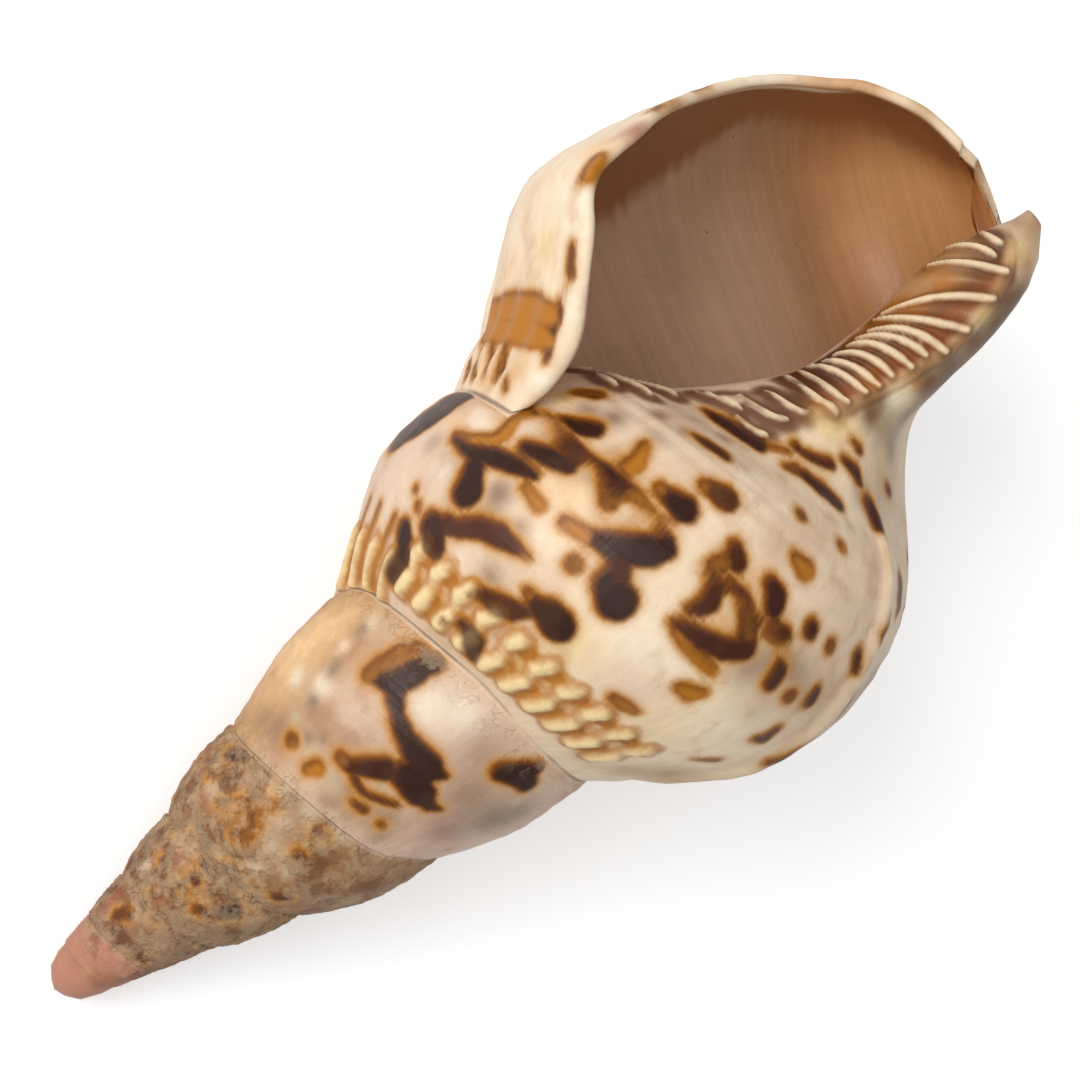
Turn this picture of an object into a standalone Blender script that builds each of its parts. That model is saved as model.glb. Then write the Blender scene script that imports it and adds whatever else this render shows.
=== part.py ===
"""Triton shell, one closed body, lying with its mouth up.

A triton shell is one tube that widens as it winds down around an axis. Its surface is described
here by two numbers. Age counts turns back from the direction that the lip faces, so the tube is
GROWTH times smaller for each turn of age. Walk goes along the tube's outline at one age: 0 is the
upper suture, 4 the widest part, 5 where the next whorl will cover it, 9 the neck and 13 the end
of the canal. Each whorl starts exactly where the older one is covered, so the spire is one skin.

The outline is worked out as height, measured along the axis from the point that the spiral
shrinks to, and radius, measured from the axis.
"""

import math

import bmesh
import bpy
import numpy as np
from mathutils import Matrix, Vector

MM = 0.001

# Growth and thickness (mm and turns)
GROWTH = 1.44
OLDEST_AGE = 6.375
LIP_AGE = -0.125
WALL = 2.6
THIN_WALL = 0.2
TIP_HEIGHT = 9.2
WORN_TIP_EXTRA_RADIUS = 2.9
WORN_TIP_FADE = 22.0
WORN_CONE_SLOPE = 0.291

# The whorl's outline at walks 1 to 8, at the size it has by the lip (mm)
WHORL_HEIGHT = np.array([175.3, 191.0, 202.2, 217.0, 231.4, 250.0, 262.0, 272.0])
BODY_RADIUS = np.array([53.5, 64.5, 70.5, 72.8, 71.5, 64.0, 53.0, 35.0])
MOUTH_RADIUS = np.array([57.0, 70.5, 77.0, 76.3, 74.6, 70.6, 65.5, 57.0])
SPIRE_RADIUS = np.array([53.9, 60.2, 63.4, 65.0, 65.6, 60.0, 50.0, 36.0])
BASE_STRETCH = np.array([0, 0, 0, 0, 0, 0, 0.010, 0.030])
COVERED = 5

# The neck and canal at walks 9 to 12, which keep their own size: (age, mm) along each ridge
NECK_AGE = [-0.15, 0.0, 0.06, 0.12, 0.25, 0.5, 0.75, 1.0, 1.25, 1.5, 2.0]
NECK_HEIGHT = [
    [278.5, 278.5, 278, 273, 260, 235.5, 229, 221, 214, 207, 180],
    [285, 285, 284.5, 281, 272, 249.5, 246, 243, 240, 236, 215],
    [287.5, 287.5, 288, 286, 280, 265, 265, 264, 263, 262, 250],
    [288.5, 288.5, 289.5, 289, 286, 280, 280, 280, 280, 279, 275],
]
NECK_RADIUS = [
    [50, 50, 47.5, 40, 26, 15.5, 13, 9.5, 8.5, 8, 7.5],
    [37.5, 37.5, 35, 28, 18, 12.2, 11.5, 9.5, 8.5, 8.6, 10],
    [25, 25, 23.5, 19, 13.5, 10.8, 11.5, 11.5, 10.0, 8.6, 10.5],
    [17, 17, 15, 12, 10, 7.8, 7.6, 7.6, 7.4, 7.0, 7.5],
]
CANAL_END_HEIGHT = 289.5
CANAL_END_RADIUS = 2.5

# The lip's edge: its age and walk, as the edge is followed from the suture to the canal
EDGE_STEP = [0, 1, 2, 3, 4, 5, 6, 7, 8, 10, 10.6, 11.0, 11.3, 11.6, 12, 12.5, 13]
EDGE_AGE = [LIP_AGE, -0.133, -0.119, -0.098, -0.08, -0.05, -0.018, -0.004, 0, 0,
            0.004, 0.01, 0.02, 0.045, 0.15, 0.28, 0.40]
EDGE_WALK = [0, 1, 2, 3, 4, 5, 6, 7, 8, 10, 10.7, 11.05, 11.05, 11.6, 10.75, 11.0, 13.0]

# Unevenness of growth: the whorl's girth, how far its suture sits low (mm), the axis's bend (mm)
GIRTH_AGE = [-0.3, 0.0, 0.08, 0.2, 0.27, 0.42, 0.5, 0.75, 1.0, 1.5, 2.0, 2.5, 3.0, 3.5, 8.0]
GIRTH = [1, 1, 1.01, 0.955, 0.955, 0.99, 1, 1, 1, 0.96, 1.0, 1.05, 1.06, 1.05, 1.0]
SUTURE_AGE = [0, 0.5, 0.63, 0.75, 0.9, 1.0, 1.1, 1.4, 1.5, 1.57, 1.65, 1.75, 1.9, 2.0, 3.0]
SUTURE_DROP = [0, 0, 4.2, 9.0, 8.0, 1.0, 0, 6, 7.8, 5, 0, -1, -3, 0, 0]
BEND_HEIGHT = [0, 90, 135, 168.5, 213, 247, 263, 278.6, 284.3, 289.5]
BEND = [0, 0, 2.6, 3.4, 3.5, 1.0, 1.5, 3.0, 4.0, 6.5]

# How it lies: the side turned up, round the axis from the lip, and how far the canal tips up
UP_SIDE = math.radians(252.9)
CANAL_TIP_UP = math.radians(18.8)

# Facets
ROWS_PER_TURN = 40
HOLLOW_ROWS = 34
WALKS = np.concatenate([np.linspace(0, COVERED, 9), np.linspace(5.2, 9, 12), np.linspace(9.4, 13, 9)])
COVER_COLUMN = 8
NEXT_COLUMN = COVER_COLUMN + 1
LAST_COLUMN = len(WALKS) - 1
LAST_WALK = 13
FINE_WALKS = np.linspace(0, LAST_WALK, 1301)
UPPER_FINE_WALKS = FINE_WALKS[300:]
PILLAR_END_AGE = 0.4


def smooth(value, low, high):
    """0 below low, 1 above high, with a soft start and end."""
    part = np.clip((value - low) / (high - low), 0, 1)
    return part * part * (3 - 2 * part)


def curve(value, stations, heights):
    """A smooth curve through the given points that never overshoots them, flat beyond its ends."""
    stations = np.asarray(stations, float)
    heights = np.asarray(heights, float)
    gap = np.diff(stations)
    slope = np.diff(heights) / gap
    tangent = np.zeros_like(heights)
    tangent[0] = slope[0]
    tangent[-1] = slope[-1]
    for i in range(1, len(stations) - 1):
        if slope[i - 1] * slope[i] > 0:
            before = 2 * gap[i] + gap[i - 1]
            after = gap[i] + 2 * gap[i - 1]
            tangent[i] = (before + after) / (before / slope[i - 1] + after / slope[i])
    value = np.clip(value, stations[0], stations[-1])
    span = np.clip(np.searchsorted(stations, value, side="right") - 1, 0, len(gap) - 1)
    t = (value - stations[span]) / gap[span]
    start = (2 * t**3 - 3 * t**2 + 1) * heights[span] + (t**3 - 2 * t**2 + t) * gap[span] * tangent[span]
    end = (3 * t**2 - 2 * t**3) * heights[span + 1] + (t**3 - t**2) * gap[span] * tangent[span + 1]
    return start + end


def suture_drop(age):
    return GROWTH * curve(age, SUTURE_AGE, SUTURE_DROP)


def whorl_radii(age):
    """Radii at walks 1 to 8, for each age: flared at the mouth, plain on the spire, worn at the tip."""
    mouth = (1 - smooth(age, 0.04, 0.28))[:, None]
    spire = smooth(age, 0.95, 1.6)[:, None]
    worn = smooth(age, 3.0, 5.0)[:, None]
    radii = BODY_RADIUS * (1 - mouth - spire) + MOUTH_RADIUS * mouth + SPIRE_RADIUS * spire
    radii = radii * (1 - worn) + WHORL_HEIGHT * WORN_CONE_SLOPE * worn
    size = GROWTH ** -age * curve(age, GIRTH_AGE, GIRTH)
    return radii * size[:, None]


def outline_points(age):
    """The outline's 14 points at each age, as (age, walk, (height, radius))."""
    size = GROWTH ** -age
    stretch = 1 + BASE_STRETCH * smooth(age, 0.72, 1.0)[:, None]
    points = np.zeros((len(age), LAST_WALK + 1, 2))
    points[:, 0, 0] = size / GROWTH * (WHORL_HEIGHT[COVERED - 1] + suture_drop(age))
    points[:, 0, 1] = whorl_radii(age + 1)[:, COVERED - 1]
    points[:, 1:9, 0] = size[:, None] * WHORL_HEIGHT * stretch
    points[:, 1:9, 1] = whorl_radii(age)
    points[:, COVERED, 0] += size * suture_drop(age - 1)
    for ridge in range(4):
        points[:, 9 + ridge, 0] = curve(age, NECK_AGE, NECK_HEIGHT[ridge])
        points[:, 9 + ridge, 1] = curve(age, NECK_AGE, NECK_RADIUS[ridge])
    points[:, LAST_WALK] = CANAL_END_HEIGHT, CANAL_END_RADIUS
    return points


def outer(age, walk):
    """Height and radius of the shell's outside, by a Catmull-Rom curve through the outline's points."""
    age, walk = np.broadcast_arrays(np.asarray(age, float), np.asarray(walk, float))
    points = outline_points(age.ravel())
    each = np.arange(age.size)
    at = np.clip(walk.ravel(), 0, LAST_WALK)
    span = np.clip(np.floor(at).astype(int), 0, LAST_WALK - 1)
    t = (at - span)[:, None]
    here = points[each, span]
    there = points[each, span + 1]
    before = np.where((span > 0)[:, None], points[each, np.maximum(span - 1, 0)], 2 * here - there)
    last = (span == LAST_WALK - 1)[:, None]
    after = np.where(last, 2 * there - here, points[each, np.minimum(span + 2, LAST_WALK)])
    bent = (2 * before - 5 * here + 4 * there - after) * t**2
    cubic = (3 * here - before - 3 * there + after) * t**3
    height, radius = (0.5 * (2 * here + (there - before) * t + bent + cubic)).T
    radius = radius + WORN_TIP_EXTRA_RADIUS * np.exp(-np.maximum(height - TIP_HEIGHT, 0) / WORN_TIP_FADE)
    return height.reshape(age.shape), radius.reshape(age.shape)


def inner(age, walk):
    """Height and radius of the hollow's wall, one wall thickness in from the outside."""
    step = 0.002
    age, walk = np.broadcast_arrays(np.asarray(age, float), np.asarray(walk, float))
    height, radius = outer(age, walk)
    height_on, radius_on = outer(age, np.minimum(walk + step, LAST_WALK))
    height_back, radius_back = outer(age, np.maximum(walk - step, 0))
    along = height_on - height_back
    out = radius_on - radius_back
    length = np.hypot(along, out)
    wall = WALL * (1 - (1 - THIN_WALL) * smooth(walk, 11, LAST_WALK))
    return height + wall * out / length, radius - wall * along / length


def place(age, height, radius):
    """Points in the shell's own axes: +X towards the lip, -Z down the axis to the canal."""
    turn = 2 * np.pi * np.asarray(age)
    across = radius * np.cos(turn) + curve(height, BEND_HEIGHT, BEND)
    return np.stack([across, radius * np.sin(turn), -height], -1)


def walk_at(age, height):
    """The walk at which the outside of an older whorl has this height."""
    return np.interp(height, outer(age, UPPER_FINE_WALKS)[0], UPPER_FINE_WALKS)


def crossing(gaps, index):
    """The fine walk at which gaps changes sign between index and index + 1."""
    part = gaps[index] / (gaps[index] - gaps[index + 1])
    return FINE_WALKS[index] + (FINE_WALKS[index + 1] - FINE_WALKS[index]) * part


def clear_walks(age):
    """The walks at which the hollow's wall leaves the whorl one turn older, and comes back to it."""
    height, radius = inner(age, FINE_WALKS)
    older_height, older_radius = outer(age + 1, UPPER_FINE_WALKS)
    gaps = radius - np.interp(height, older_height, older_radius)
    leaves = int(np.argmax(gaps > 0))
    top = crossing(gaps, leaves - 1) if leaves else 0.0
    below = leaves + 200
    returns = np.flatnonzero(gaps[below:] < 0)
    bottom = crossing(gaps, below + returns[0] - 1) if len(returns) else LAST_WALK
    return top, bottom


def lean(row, walks):
    """Age and walk of a row's points: the first row is the lip's edge, and the lean fades in a turn."""
    turned = row / ROWS_PER_TURN
    reach = EDGE_AGE[-1] - LIP_AGE
    left = 1 - (turned - (1 - reach) * turned**1.6) / reach
    age = LIP_AGE + turned + left * (curve(walks, EDGE_STEP, EDGE_AGE) - LIP_AGE)
    return age, walks + left * (curve(walks, EDGE_STEP, EDGE_WALK) - walks)


class Skin:
    """The closed surface's points and faces, as they are laid down."""

    def __init__(self):
        self.points = []
        self.faces = []

    def point(self, at):
        self.points.append(tuple(at))
        return len(self.points) - 1

    def row(self, points):
        return [self.point(at) for at in points]

    def face(self, *corners):
        corners = list(dict.fromkeys(corners))
        if len(corners) > 2:
            self.faces.append(corners)

    def strip(self, one, other):
        """Faces between two rows with as many points as each other."""
        for a, b, c, d in zip(one, one[1:], other[1:], other):
            self.face(a, b, c, d)

    def zip_rows(self, one, one_at, other, other_at):
        """Faces between two rows with different numbers of points, paired by their positions."""
        i = 0
        j = 0
        while i < len(one) - 1 or j < len(other) - 1:
            done = j == len(other) - 1
            if done or (i < len(one) - 1 and one_at[i + 1] <= other_at[j + 1]):
                self.face(one[i], other[j], one[i + 1])
                i += 1
            else:
                self.face(one[i], other[j], other[j + 1])
                j += 1

    def lengths(self, row):
        """How far along a row each of its points is, from 0 to 1."""
        points = np.array([self.points[i] for i in row])
        steps = np.linalg.norm(np.diff(points, axis=0), axis=1)
        return list(np.concatenate([[0], np.cumsum(steps)]) / steps.sum())


def hollow_rows(skin, clears):
    """The hollow's wall, from the lip's inner edge inwards. Its ends lie on the older whorl."""
    rows = []
    for row, (top, bottom) in enumerate(clears):
        walks = WALKS + top * (1 - smooth(WALKS, 0, 2))
        age, walk = lean(row, walks)
        end = bottom if row else LAST_WALK
        walk = walk + (end - LAST_WALK) * smooth(WALKS, COVERED, LAST_WALK)
        rows.append(skin.row(place(age, *inner(age, walk))))
    return rows


def last_turn_rows(skin, hollow, clears):
    """The outside of the last turn, down to the canal's end. Its last row meets the first again."""
    rows = []
    meets = walk_at(LIP_AGE + 1, inner(LIP_AGE, clears[0][0])[0])
    below = WALKS[NEXT_COLUMN:]
    moved = meets + (below - below[0]) * (LAST_WALK - meets) / (LAST_WALK - below[0])
    for row in range(ROWS_PER_TURN + 1):
        share = smooth(row / ROWS_PER_TURN, 0.3, 1.0)
        walks = np.concatenate([WALKS[:NEXT_COLUMN], (1 - share) * below + share * moved])
        age, walk = lean(row, walks)
        points = place(age, *outer(age, walk))
        if row < ROWS_PER_TURN:
            rows.append(skin.row(points))
        else:
            shared = [rows[0][0], hollow[0][0]]
            rows.append(skin.row(points[:COVER_COLUMN]) + shared + skin.row(points[NEXT_COLUMN + 1:]))
    return rows


def older_rows(skin, rows, hollow, clears):
    """Older turns: the band between sutures, and, inside the hollow, the pillar below that band."""
    pillar = []
    tip_edge = []
    for row in range(ROWS_PER_TURN + 1, round((OLDEST_AGE - LIP_AGE) * ROWS_PER_TURN) + 1):
        age = LIP_AGE + row / ROWS_PER_TURN
        band = skin.row(place(age, *outer(age, WALKS[:COVER_COLUMN])))
        rows.append(band + [rows[row - ROWS_PER_TURN][0]])
        inside = row - ROWS_PER_TURN
        if inside > HOLLOW_ROWS:
            continue
        reaches_tip = age - 1 < PILLAR_END_AGE
        top, bottom = clears[inside]
        first = walk_at(age, inner(age - 1, top)[0])
        last = LAST_WALK if reaches_tip else walk_at(age, inner(age - 1, bottom)[0])
        share = (WALKS[NEXT_COLUMN:] - WALKS[NEXT_COLUMN]) / (LAST_WALK - WALKS[NEXT_COLUMN])
        points = place(age, *outer(age, first + (last - first) * share))
        pillar.append([hollow[inside][0]] + skin.row(points[1:-1]))
        if reaches_tip:
            tip_edge.append((skin.point(points[-1]), age))
    return pillar, tip_edge


def close_canal_end(skin, rows, tip_edge):
    ring = [row[LAST_COLUMN] for row in rows[:ROWS_PER_TURN + 1]] + [point for point, age in tip_edge]
    middle = np.mean([skin.points[i] for i in ring], axis=0)
    middle[2] = -CANAL_END_HEIGHT - 0.1
    centre = skin.point(middle)
    for a, b in zip(ring, ring[1:] + ring[:1]):
        skin.face(a, b, centre)


def close_worn_tip(skin, rows):
    """A blunt, slightly domed end over the oldest turn."""
    edge = [row[0] for row in rows[-ROWS_PER_TURN - 1:]] + rows[-1][1:COVER_COLUMN]
    ring = []
    for i in edge:
        x, y, z = skin.points[i]
        ring.append(skin.point((0.72 * x, 0.72 * y, 0.25 * z - 0.75 * (TIP_HEIGHT + 1.8))))
    skin.strip(edge + edge[:1], ring + ring[:1])
    centre = skin.point((0, 0, -TIP_HEIGHT))
    for a, b in zip(ring, ring[1:] + ring[:1]):
        skin.face(a, b, centre)


def build_skin():
    skin = Skin()
    clears = [clear_walks(LIP_AGE + row / ROWS_PER_TURN) for row in range(HOLLOW_ROWS + 1)]
    hollow = hollow_rows(skin, clears)
    rows = last_turn_rows(skin, hollow, clears)
    hollow[0][LAST_COLUMN] = rows[0][LAST_COLUMN]
    pillar, tip_edge = older_rows(skin, rows, hollow, clears)

    for one, other in zip(rows[:ROWS_PER_TURN], rows[1:]):
        skin.strip(one, other)
    for one, other in zip(rows[ROWS_PER_TURN:], rows[ROWS_PER_TURN + 1:]):
        skin.strip(one[:NEXT_COLUMN], other)
    for one, other in zip(hollow, hollow[1:]):
        skin.strip(one, other)
    skin.strip(rows[0], hollow[0])

    pillar.insert(0, rows[ROWS_PER_TURN][NEXT_COLUMN:LAST_COLUMN])
    for one, other in zip(pillar, pillar[1:]):
        skin.strip(one, other)
    tip_edge.insert(0, (rows[ROWS_PER_TURN][LAST_COLUMN], LIP_AGE + 1))
    foot = [(hollow[row][LAST_COLUMN], 1 + lean(row, WALKS[-1:])[0][0]) for row in range(HOLLOW_ROWS + 1)]
    foot = tip_edge + foot
    pillar_ages = [LIP_AGE + 1 + row / ROWS_PER_TURN for row in range(HOLLOW_ROWS + 1)]
    skin.zip_rows([row[-1] for row in pillar], pillar_ages, *zip(*foot))

    deepest = pillar[-1] + [hollow[-1][LAST_COLUMN]]
    skin.zip_rows(deepest, skin.lengths(deepest), hollow[-1], skin.lengths(hollow[-1]))
    close_canal_end(skin, rows, tip_edge[1:])
    close_worn_tip(skin, rows)
    return skin


def lying_axes():
    """Turns the shell's own axes so that it lies at rest, with its worn tip towards +X."""
    level = math.cos(CANAL_TIP_UP)
    up = Vector((level * math.cos(UP_SIDE), level * math.sin(UP_SIDE), -math.sin(CANAL_TIP_UP)))
    tip = Vector((0, 0, 1))
    forward = (tip - tip.dot(up) * up).normalized()
    return Matrix((forward, up.cross(forward), up))


def shell_material():
    material = bpy.data.materials.new("Shell")
    material.use_nodes = True
    surface = material.node_tree.nodes["Principled BSDF"]
    surface.inputs["Base Color"].default_value = (0.62, 0.47, 0.33, 1)
    surface.inputs["Roughness"].default_value = 0.35
    surface.inputs["Metallic"].default_value = 0
    return material


def build_shell():
    skin = build_skin()
    turn = lying_axes()
    mesh = bpy.data.meshes.new("shell")
    form = bmesh.new()
    corners = [form.verts.new(turn @ Vector(point) * MM) for point in skin.points]
    for face in skin.faces:
        form.faces.new([corners[i] for i in face])
    bmesh.ops.triangulate(form, faces=form.faces, quad_method="FIXED")
    bmesh.ops.delete(form, geom=[v for v in form.verts if not v.link_faces], context="VERTS")
    bmesh.ops.recalc_face_normals(form, faces=form.faces)

    # The origin is the middle of the shell's box, on the surface it lies on
    places = np.array([vert.co for vert in form.verts])
    low = places.min(axis=0)
    middle = (low + places.max(axis=0)) / 2
    bmesh.ops.translate(form, verts=form.verts, vec=(-middle[0], -middle[1], -low[2]))
    form.to_mesh(mesh)
    form.free()
    mesh.shade_smooth()
    mesh.set_sharp_from_angle(angle=math.radians(40))
    mesh.materials.append(shell_material())
    return bpy.data.objects.new("shell", mesh)


def main():
    for item in list(bpy.data.objects):
        bpy.data.objects.remove(item, do_unlink=True)
    collection = bpy.data.collections.new("triton shell")
    bpy.context.scene.collection.children.link(collection)
    shell = build_shell()
    collection.objects.link(shell)
    print("shell:", len(shell.data.polygons), "triangles,", [round(d, 4) for d in shell.dimensions], "m")


main()
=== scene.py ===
import math
import random

import bmesh
import bpy
import numpy as np
from mathutils import Matrix, Vector, noise


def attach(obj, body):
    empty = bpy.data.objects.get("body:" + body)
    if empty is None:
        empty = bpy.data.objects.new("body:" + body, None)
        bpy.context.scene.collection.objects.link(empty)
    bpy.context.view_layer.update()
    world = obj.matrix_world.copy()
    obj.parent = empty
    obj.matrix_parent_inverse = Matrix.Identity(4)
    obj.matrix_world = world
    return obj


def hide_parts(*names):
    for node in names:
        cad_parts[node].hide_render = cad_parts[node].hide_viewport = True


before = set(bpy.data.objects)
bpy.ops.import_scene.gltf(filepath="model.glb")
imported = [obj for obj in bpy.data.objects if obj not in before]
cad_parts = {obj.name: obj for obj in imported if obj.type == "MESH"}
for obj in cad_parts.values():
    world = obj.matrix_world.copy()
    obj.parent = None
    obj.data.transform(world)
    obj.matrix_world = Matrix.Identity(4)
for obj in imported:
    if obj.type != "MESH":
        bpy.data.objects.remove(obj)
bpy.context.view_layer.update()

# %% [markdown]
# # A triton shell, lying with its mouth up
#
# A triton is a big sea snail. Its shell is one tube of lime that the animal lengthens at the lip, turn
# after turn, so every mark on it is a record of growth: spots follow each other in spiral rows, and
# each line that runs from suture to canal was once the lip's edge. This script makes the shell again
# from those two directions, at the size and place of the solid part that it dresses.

MM = 0.001

# %% [markdown]
# ## The spiral and the tube's outline
#
# On the real shell each turn is the last one grown larger by the same factor. The surface is described
# by two numbers. *Age* counts turns back from the lip's direction. *Walk* goes along the outline at
# one age: 0 is the upper suture, 4 the belly, 5 where the next whorl covers it, 9 the neck and 13 the
# end of the canal. Heights are measured from the point that the spiral shrinks to. A lathe can't make
# this shape, and a modifier that repeats one ring can't make the flared mouth or the pillar, so the
# outline is a table of ridges and the surface is worked out from it at any fineness.

# %%
# Growth and thickness (mm and turns)
GROWTH = 1.44
LIP_AGE = -0.125
WALL = 2.6
THIN_WALL = 0.2
TIP_HEIGHT = 9.2
WORN_TIP_EXTRA_RADIUS = 2.9
WORN_TIP_FADE = 22.0
WORN_CONE_SLOPE = 0.291

# The whorl's outline at walks 1 to 8, at the size it has by the lip (mm)
WHORL_HEIGHT = np.array([175.3, 191.0, 202.2, 217.0, 231.4, 250.0, 262.0, 272.0])
BODY_RADIUS = np.array([53.5, 64.5, 70.5, 72.8, 71.5, 64.0, 53.0, 35.0])
MOUTH_RADIUS = np.array([57.0, 70.5, 77.0, 76.3, 74.6, 70.6, 65.5, 57.0])
SPIRE_RADIUS = np.array([53.9, 60.2, 63.4, 65.0, 65.6, 60.0, 50.0, 36.0])
BASE_STRETCH = np.array([0, 0, 0, 0, 0, 0, 0.010, 0.030])
COVERED = 5
LAST_WALK = 13

# The neck and canal at walks 9 to 12, which keep their own size: (age, mm) along each ridge
NECK_AGE = [-0.15, 0.0, 0.06, 0.12, 0.25, 0.5, 0.75, 1.0, 1.25, 1.5, 2.0]
NECK_HEIGHT = [
    [278.5, 278.5, 278, 273, 260, 235.5, 229, 221, 214, 207, 180],
    [285, 285, 284.5, 281, 272, 249.5, 246, 243, 240, 236, 215],
    [287.5, 287.5, 288, 286, 280, 265, 265, 264, 263, 262, 250],
    [288.5, 288.5, 289.5, 289, 286, 280, 280, 280, 280, 279, 275],
]
NECK_RADIUS = [
    [50, 50, 47.5, 40, 26, 15.5, 13, 9.5, 8.5, 8, 7.5],
    [37.5, 37.5, 35, 28, 18, 12.2, 11.5, 9.5, 8.5, 8.6, 10],
    [25, 25, 23.5, 19, 13.5, 10.8, 11.5, 11.5, 10.0, 8.6, 10.5],
    [17, 17, 15, 12, 10, 7.8, 7.6, 7.6, 7.4, 7.0, 7.5],
]
CANAL_END_HEIGHT = 289.5
CANAL_END_RADIUS = 2.5

# The lip's edge: its age and walk, as the edge is followed from the suture to the canal
EDGE_STEP = [0, 1, 2, 3, 4, 5, 6, 7, 8, 10, 10.6, 11.0, 11.3, 11.6, 12, 12.5, 13]
EDGE_AGE = [LIP_AGE, -0.133, -0.119, -0.098, -0.08, -0.05, -0.018, -0.004, 0, 0,
            0.004, 0.01, 0.02, 0.045, 0.15, 0.28, 0.40]
EDGE_WALK = [0, 1, 2, 3, 4, 5, 6, 7, 8, 10, 10.7, 11.05, 11.05, 11.6, 10.75, 11.0, 13.0]

# Unevenness of growth: the whorl's girth, how far its suture sits low (mm), the axis's bend (mm)
GIRTH_AGE = [-0.3, 0.0, 0.08, 0.2, 0.27, 0.42, 0.5, 0.75, 1.0, 1.5, 2.0, 2.5, 3.0, 3.5, 8.0]
GIRTH = [1, 1, 1.01, 0.955, 0.955, 0.99, 1, 1, 1, 0.96, 1.0, 1.05, 1.06, 1.05, 1.0]
SUTURE_AGE = [0, 0.5, 0.63, 0.75, 0.9, 1.0, 1.1, 1.4, 1.5, 1.57, 1.65, 1.75, 1.9, 2.0, 3.0]
SUTURE_DROP = [0, 0, 4.2, 9.0, 8.0, 1.0, 0, 6, 7.8, 5, 0, -1, -3, 0, 0]
BEND_HEIGHT = [0, 90, 135, 168.5, 213, 247, 263, 278.6, 284.3, 289.5]
BEND = [0, 0, 2.6, 3.4, 3.5, 1.0, 1.5, 3.0, 4.0, 6.5]

# How it lies: the side turned up, round the axis from the lip, and how far the canal tips up
UP_SIDE = math.radians(252.9)
CANAL_TIP_UP = math.radians(18.8)

FINE_WALKS = np.linspace(0, LAST_WALK, 1301)
UPPER_FINE_WALKS = FINE_WALKS[300:]
PILLAR_END_AGE = 0.4


def smooth(value, low, high):
    """0 below low, 1 above high, with a soft start and end."""
    part = np.clip((value - low) / (high - low), 0, 1)
    return part * part * (3 - 2 * part)


def curve(value, stations, heights):
    """A smooth curve through the given points that never overshoots them, flat beyond its ends."""
    stations = np.asarray(stations, float)
    heights = np.asarray(heights, float)
    gap = np.diff(stations)
    slope = np.diff(heights) / gap
    tangent = np.zeros_like(heights)
    tangent[0] = slope[0]
    tangent[-1] = slope[-1]
    for i in range(1, len(stations) - 1):
        if slope[i - 1] * slope[i] > 0:
            before = 2 * gap[i] + gap[i - 1]
            after = gap[i] + 2 * gap[i - 1]
            tangent[i] = (before + after) / (before / slope[i - 1] + after / slope[i])
    value = np.clip(value, stations[0], stations[-1])
    span = np.clip(np.searchsorted(stations, value, side="right") - 1, 0, len(gap) - 1)
    t = (value - stations[span]) / gap[span]
    start = (2 * t**3 - 3 * t**2 + 1) * heights[span] + (t**3 - 2 * t**2 + t) * gap[span] * tangent[span]
    end = (3 * t**2 - 2 * t**3) * heights[span + 1] + (t**3 - t**2) * gap[span] * tangent[span + 1]
    return start + end


def suture_drop(age):
    return GROWTH * curve(age, SUTURE_AGE, SUTURE_DROP)


def whorl_radii(age):
    """Radii at walks 1 to 8, for each age: flared at the mouth, plain on the spire, worn at the tip."""
    mouth = (1 - smooth(age, 0.04, 0.28))[:, None]
    spire = smooth(age, 0.95, 1.6)[:, None]
    worn = smooth(age, 3.0, 5.0)[:, None]
    radii = BODY_RADIUS * (1 - mouth - spire) + MOUTH_RADIUS * mouth + SPIRE_RADIUS * spire
    radii = radii * (1 - worn) + WHORL_HEIGHT * WORN_CONE_SLOPE * worn
    size = GROWTH ** -age * curve(age, GIRTH_AGE, GIRTH)
    return radii * size[:, None]


def outline_points(age):
    """The outline's 14 points at each age, as (age, walk, (height, radius))."""
    size = GROWTH ** -age
    stretch = 1 + BASE_STRETCH * smooth(age, 0.72, 1.0)[:, None]
    points = np.zeros((len(age), LAST_WALK + 1, 2))
    points[:, 0, 0] = size / GROWTH * (WHORL_HEIGHT[COVERED - 1] + suture_drop(age))
    points[:, 0, 1] = whorl_radii(age + 1)[:, COVERED - 1]
    points[:, 1:9, 0] = size[:, None] * WHORL_HEIGHT * stretch
    points[:, 1:9, 1] = whorl_radii(age)
    points[:, COVERED, 0] += size * suture_drop(age - 1)
    for ridge in range(4):
        points[:, 9 + ridge, 0] = curve(age, NECK_AGE, NECK_HEIGHT[ridge])
        points[:, 9 + ridge, 1] = curve(age, NECK_AGE, NECK_RADIUS[ridge])
    points[:, LAST_WALK] = CANAL_END_HEIGHT, CANAL_END_RADIUS
    return points


def outer(age, walk):
    """Height and radius of the shell's outside, by a Catmull-Rom curve through the outline's points."""
    age, walk = np.broadcast_arrays(np.asarray(age, float), np.asarray(walk, float))
    points = outline_points(age.ravel())
    each = np.arange(age.size)
    at = np.clip(walk.ravel(), 0, LAST_WALK)
    span = np.clip(np.floor(at).astype(int), 0, LAST_WALK - 1)
    t = (at - span)[:, None]
    here = points[each, span]
    there = points[each, span + 1]
    before = np.where((span > 0)[:, None], points[each, np.maximum(span - 1, 0)], 2 * here - there)
    last = (span == LAST_WALK - 1)[:, None]
    after = np.where(last, 2 * there - here, points[each, np.minimum(span + 2, LAST_WALK)])
    bent = (2 * before - 5 * here + 4 * there - after) * t**2
    cubic = (3 * here - before - 3 * there + after) * t**3
    height, radius = (0.5 * (2 * here + (there - before) * t + bent + cubic)).T
    radius = radius + WORN_TIP_EXTRA_RADIUS * np.exp(-np.maximum(height - TIP_HEIGHT, 0) / WORN_TIP_FADE)
    return height.reshape(age.shape), radius.reshape(age.shape)


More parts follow.
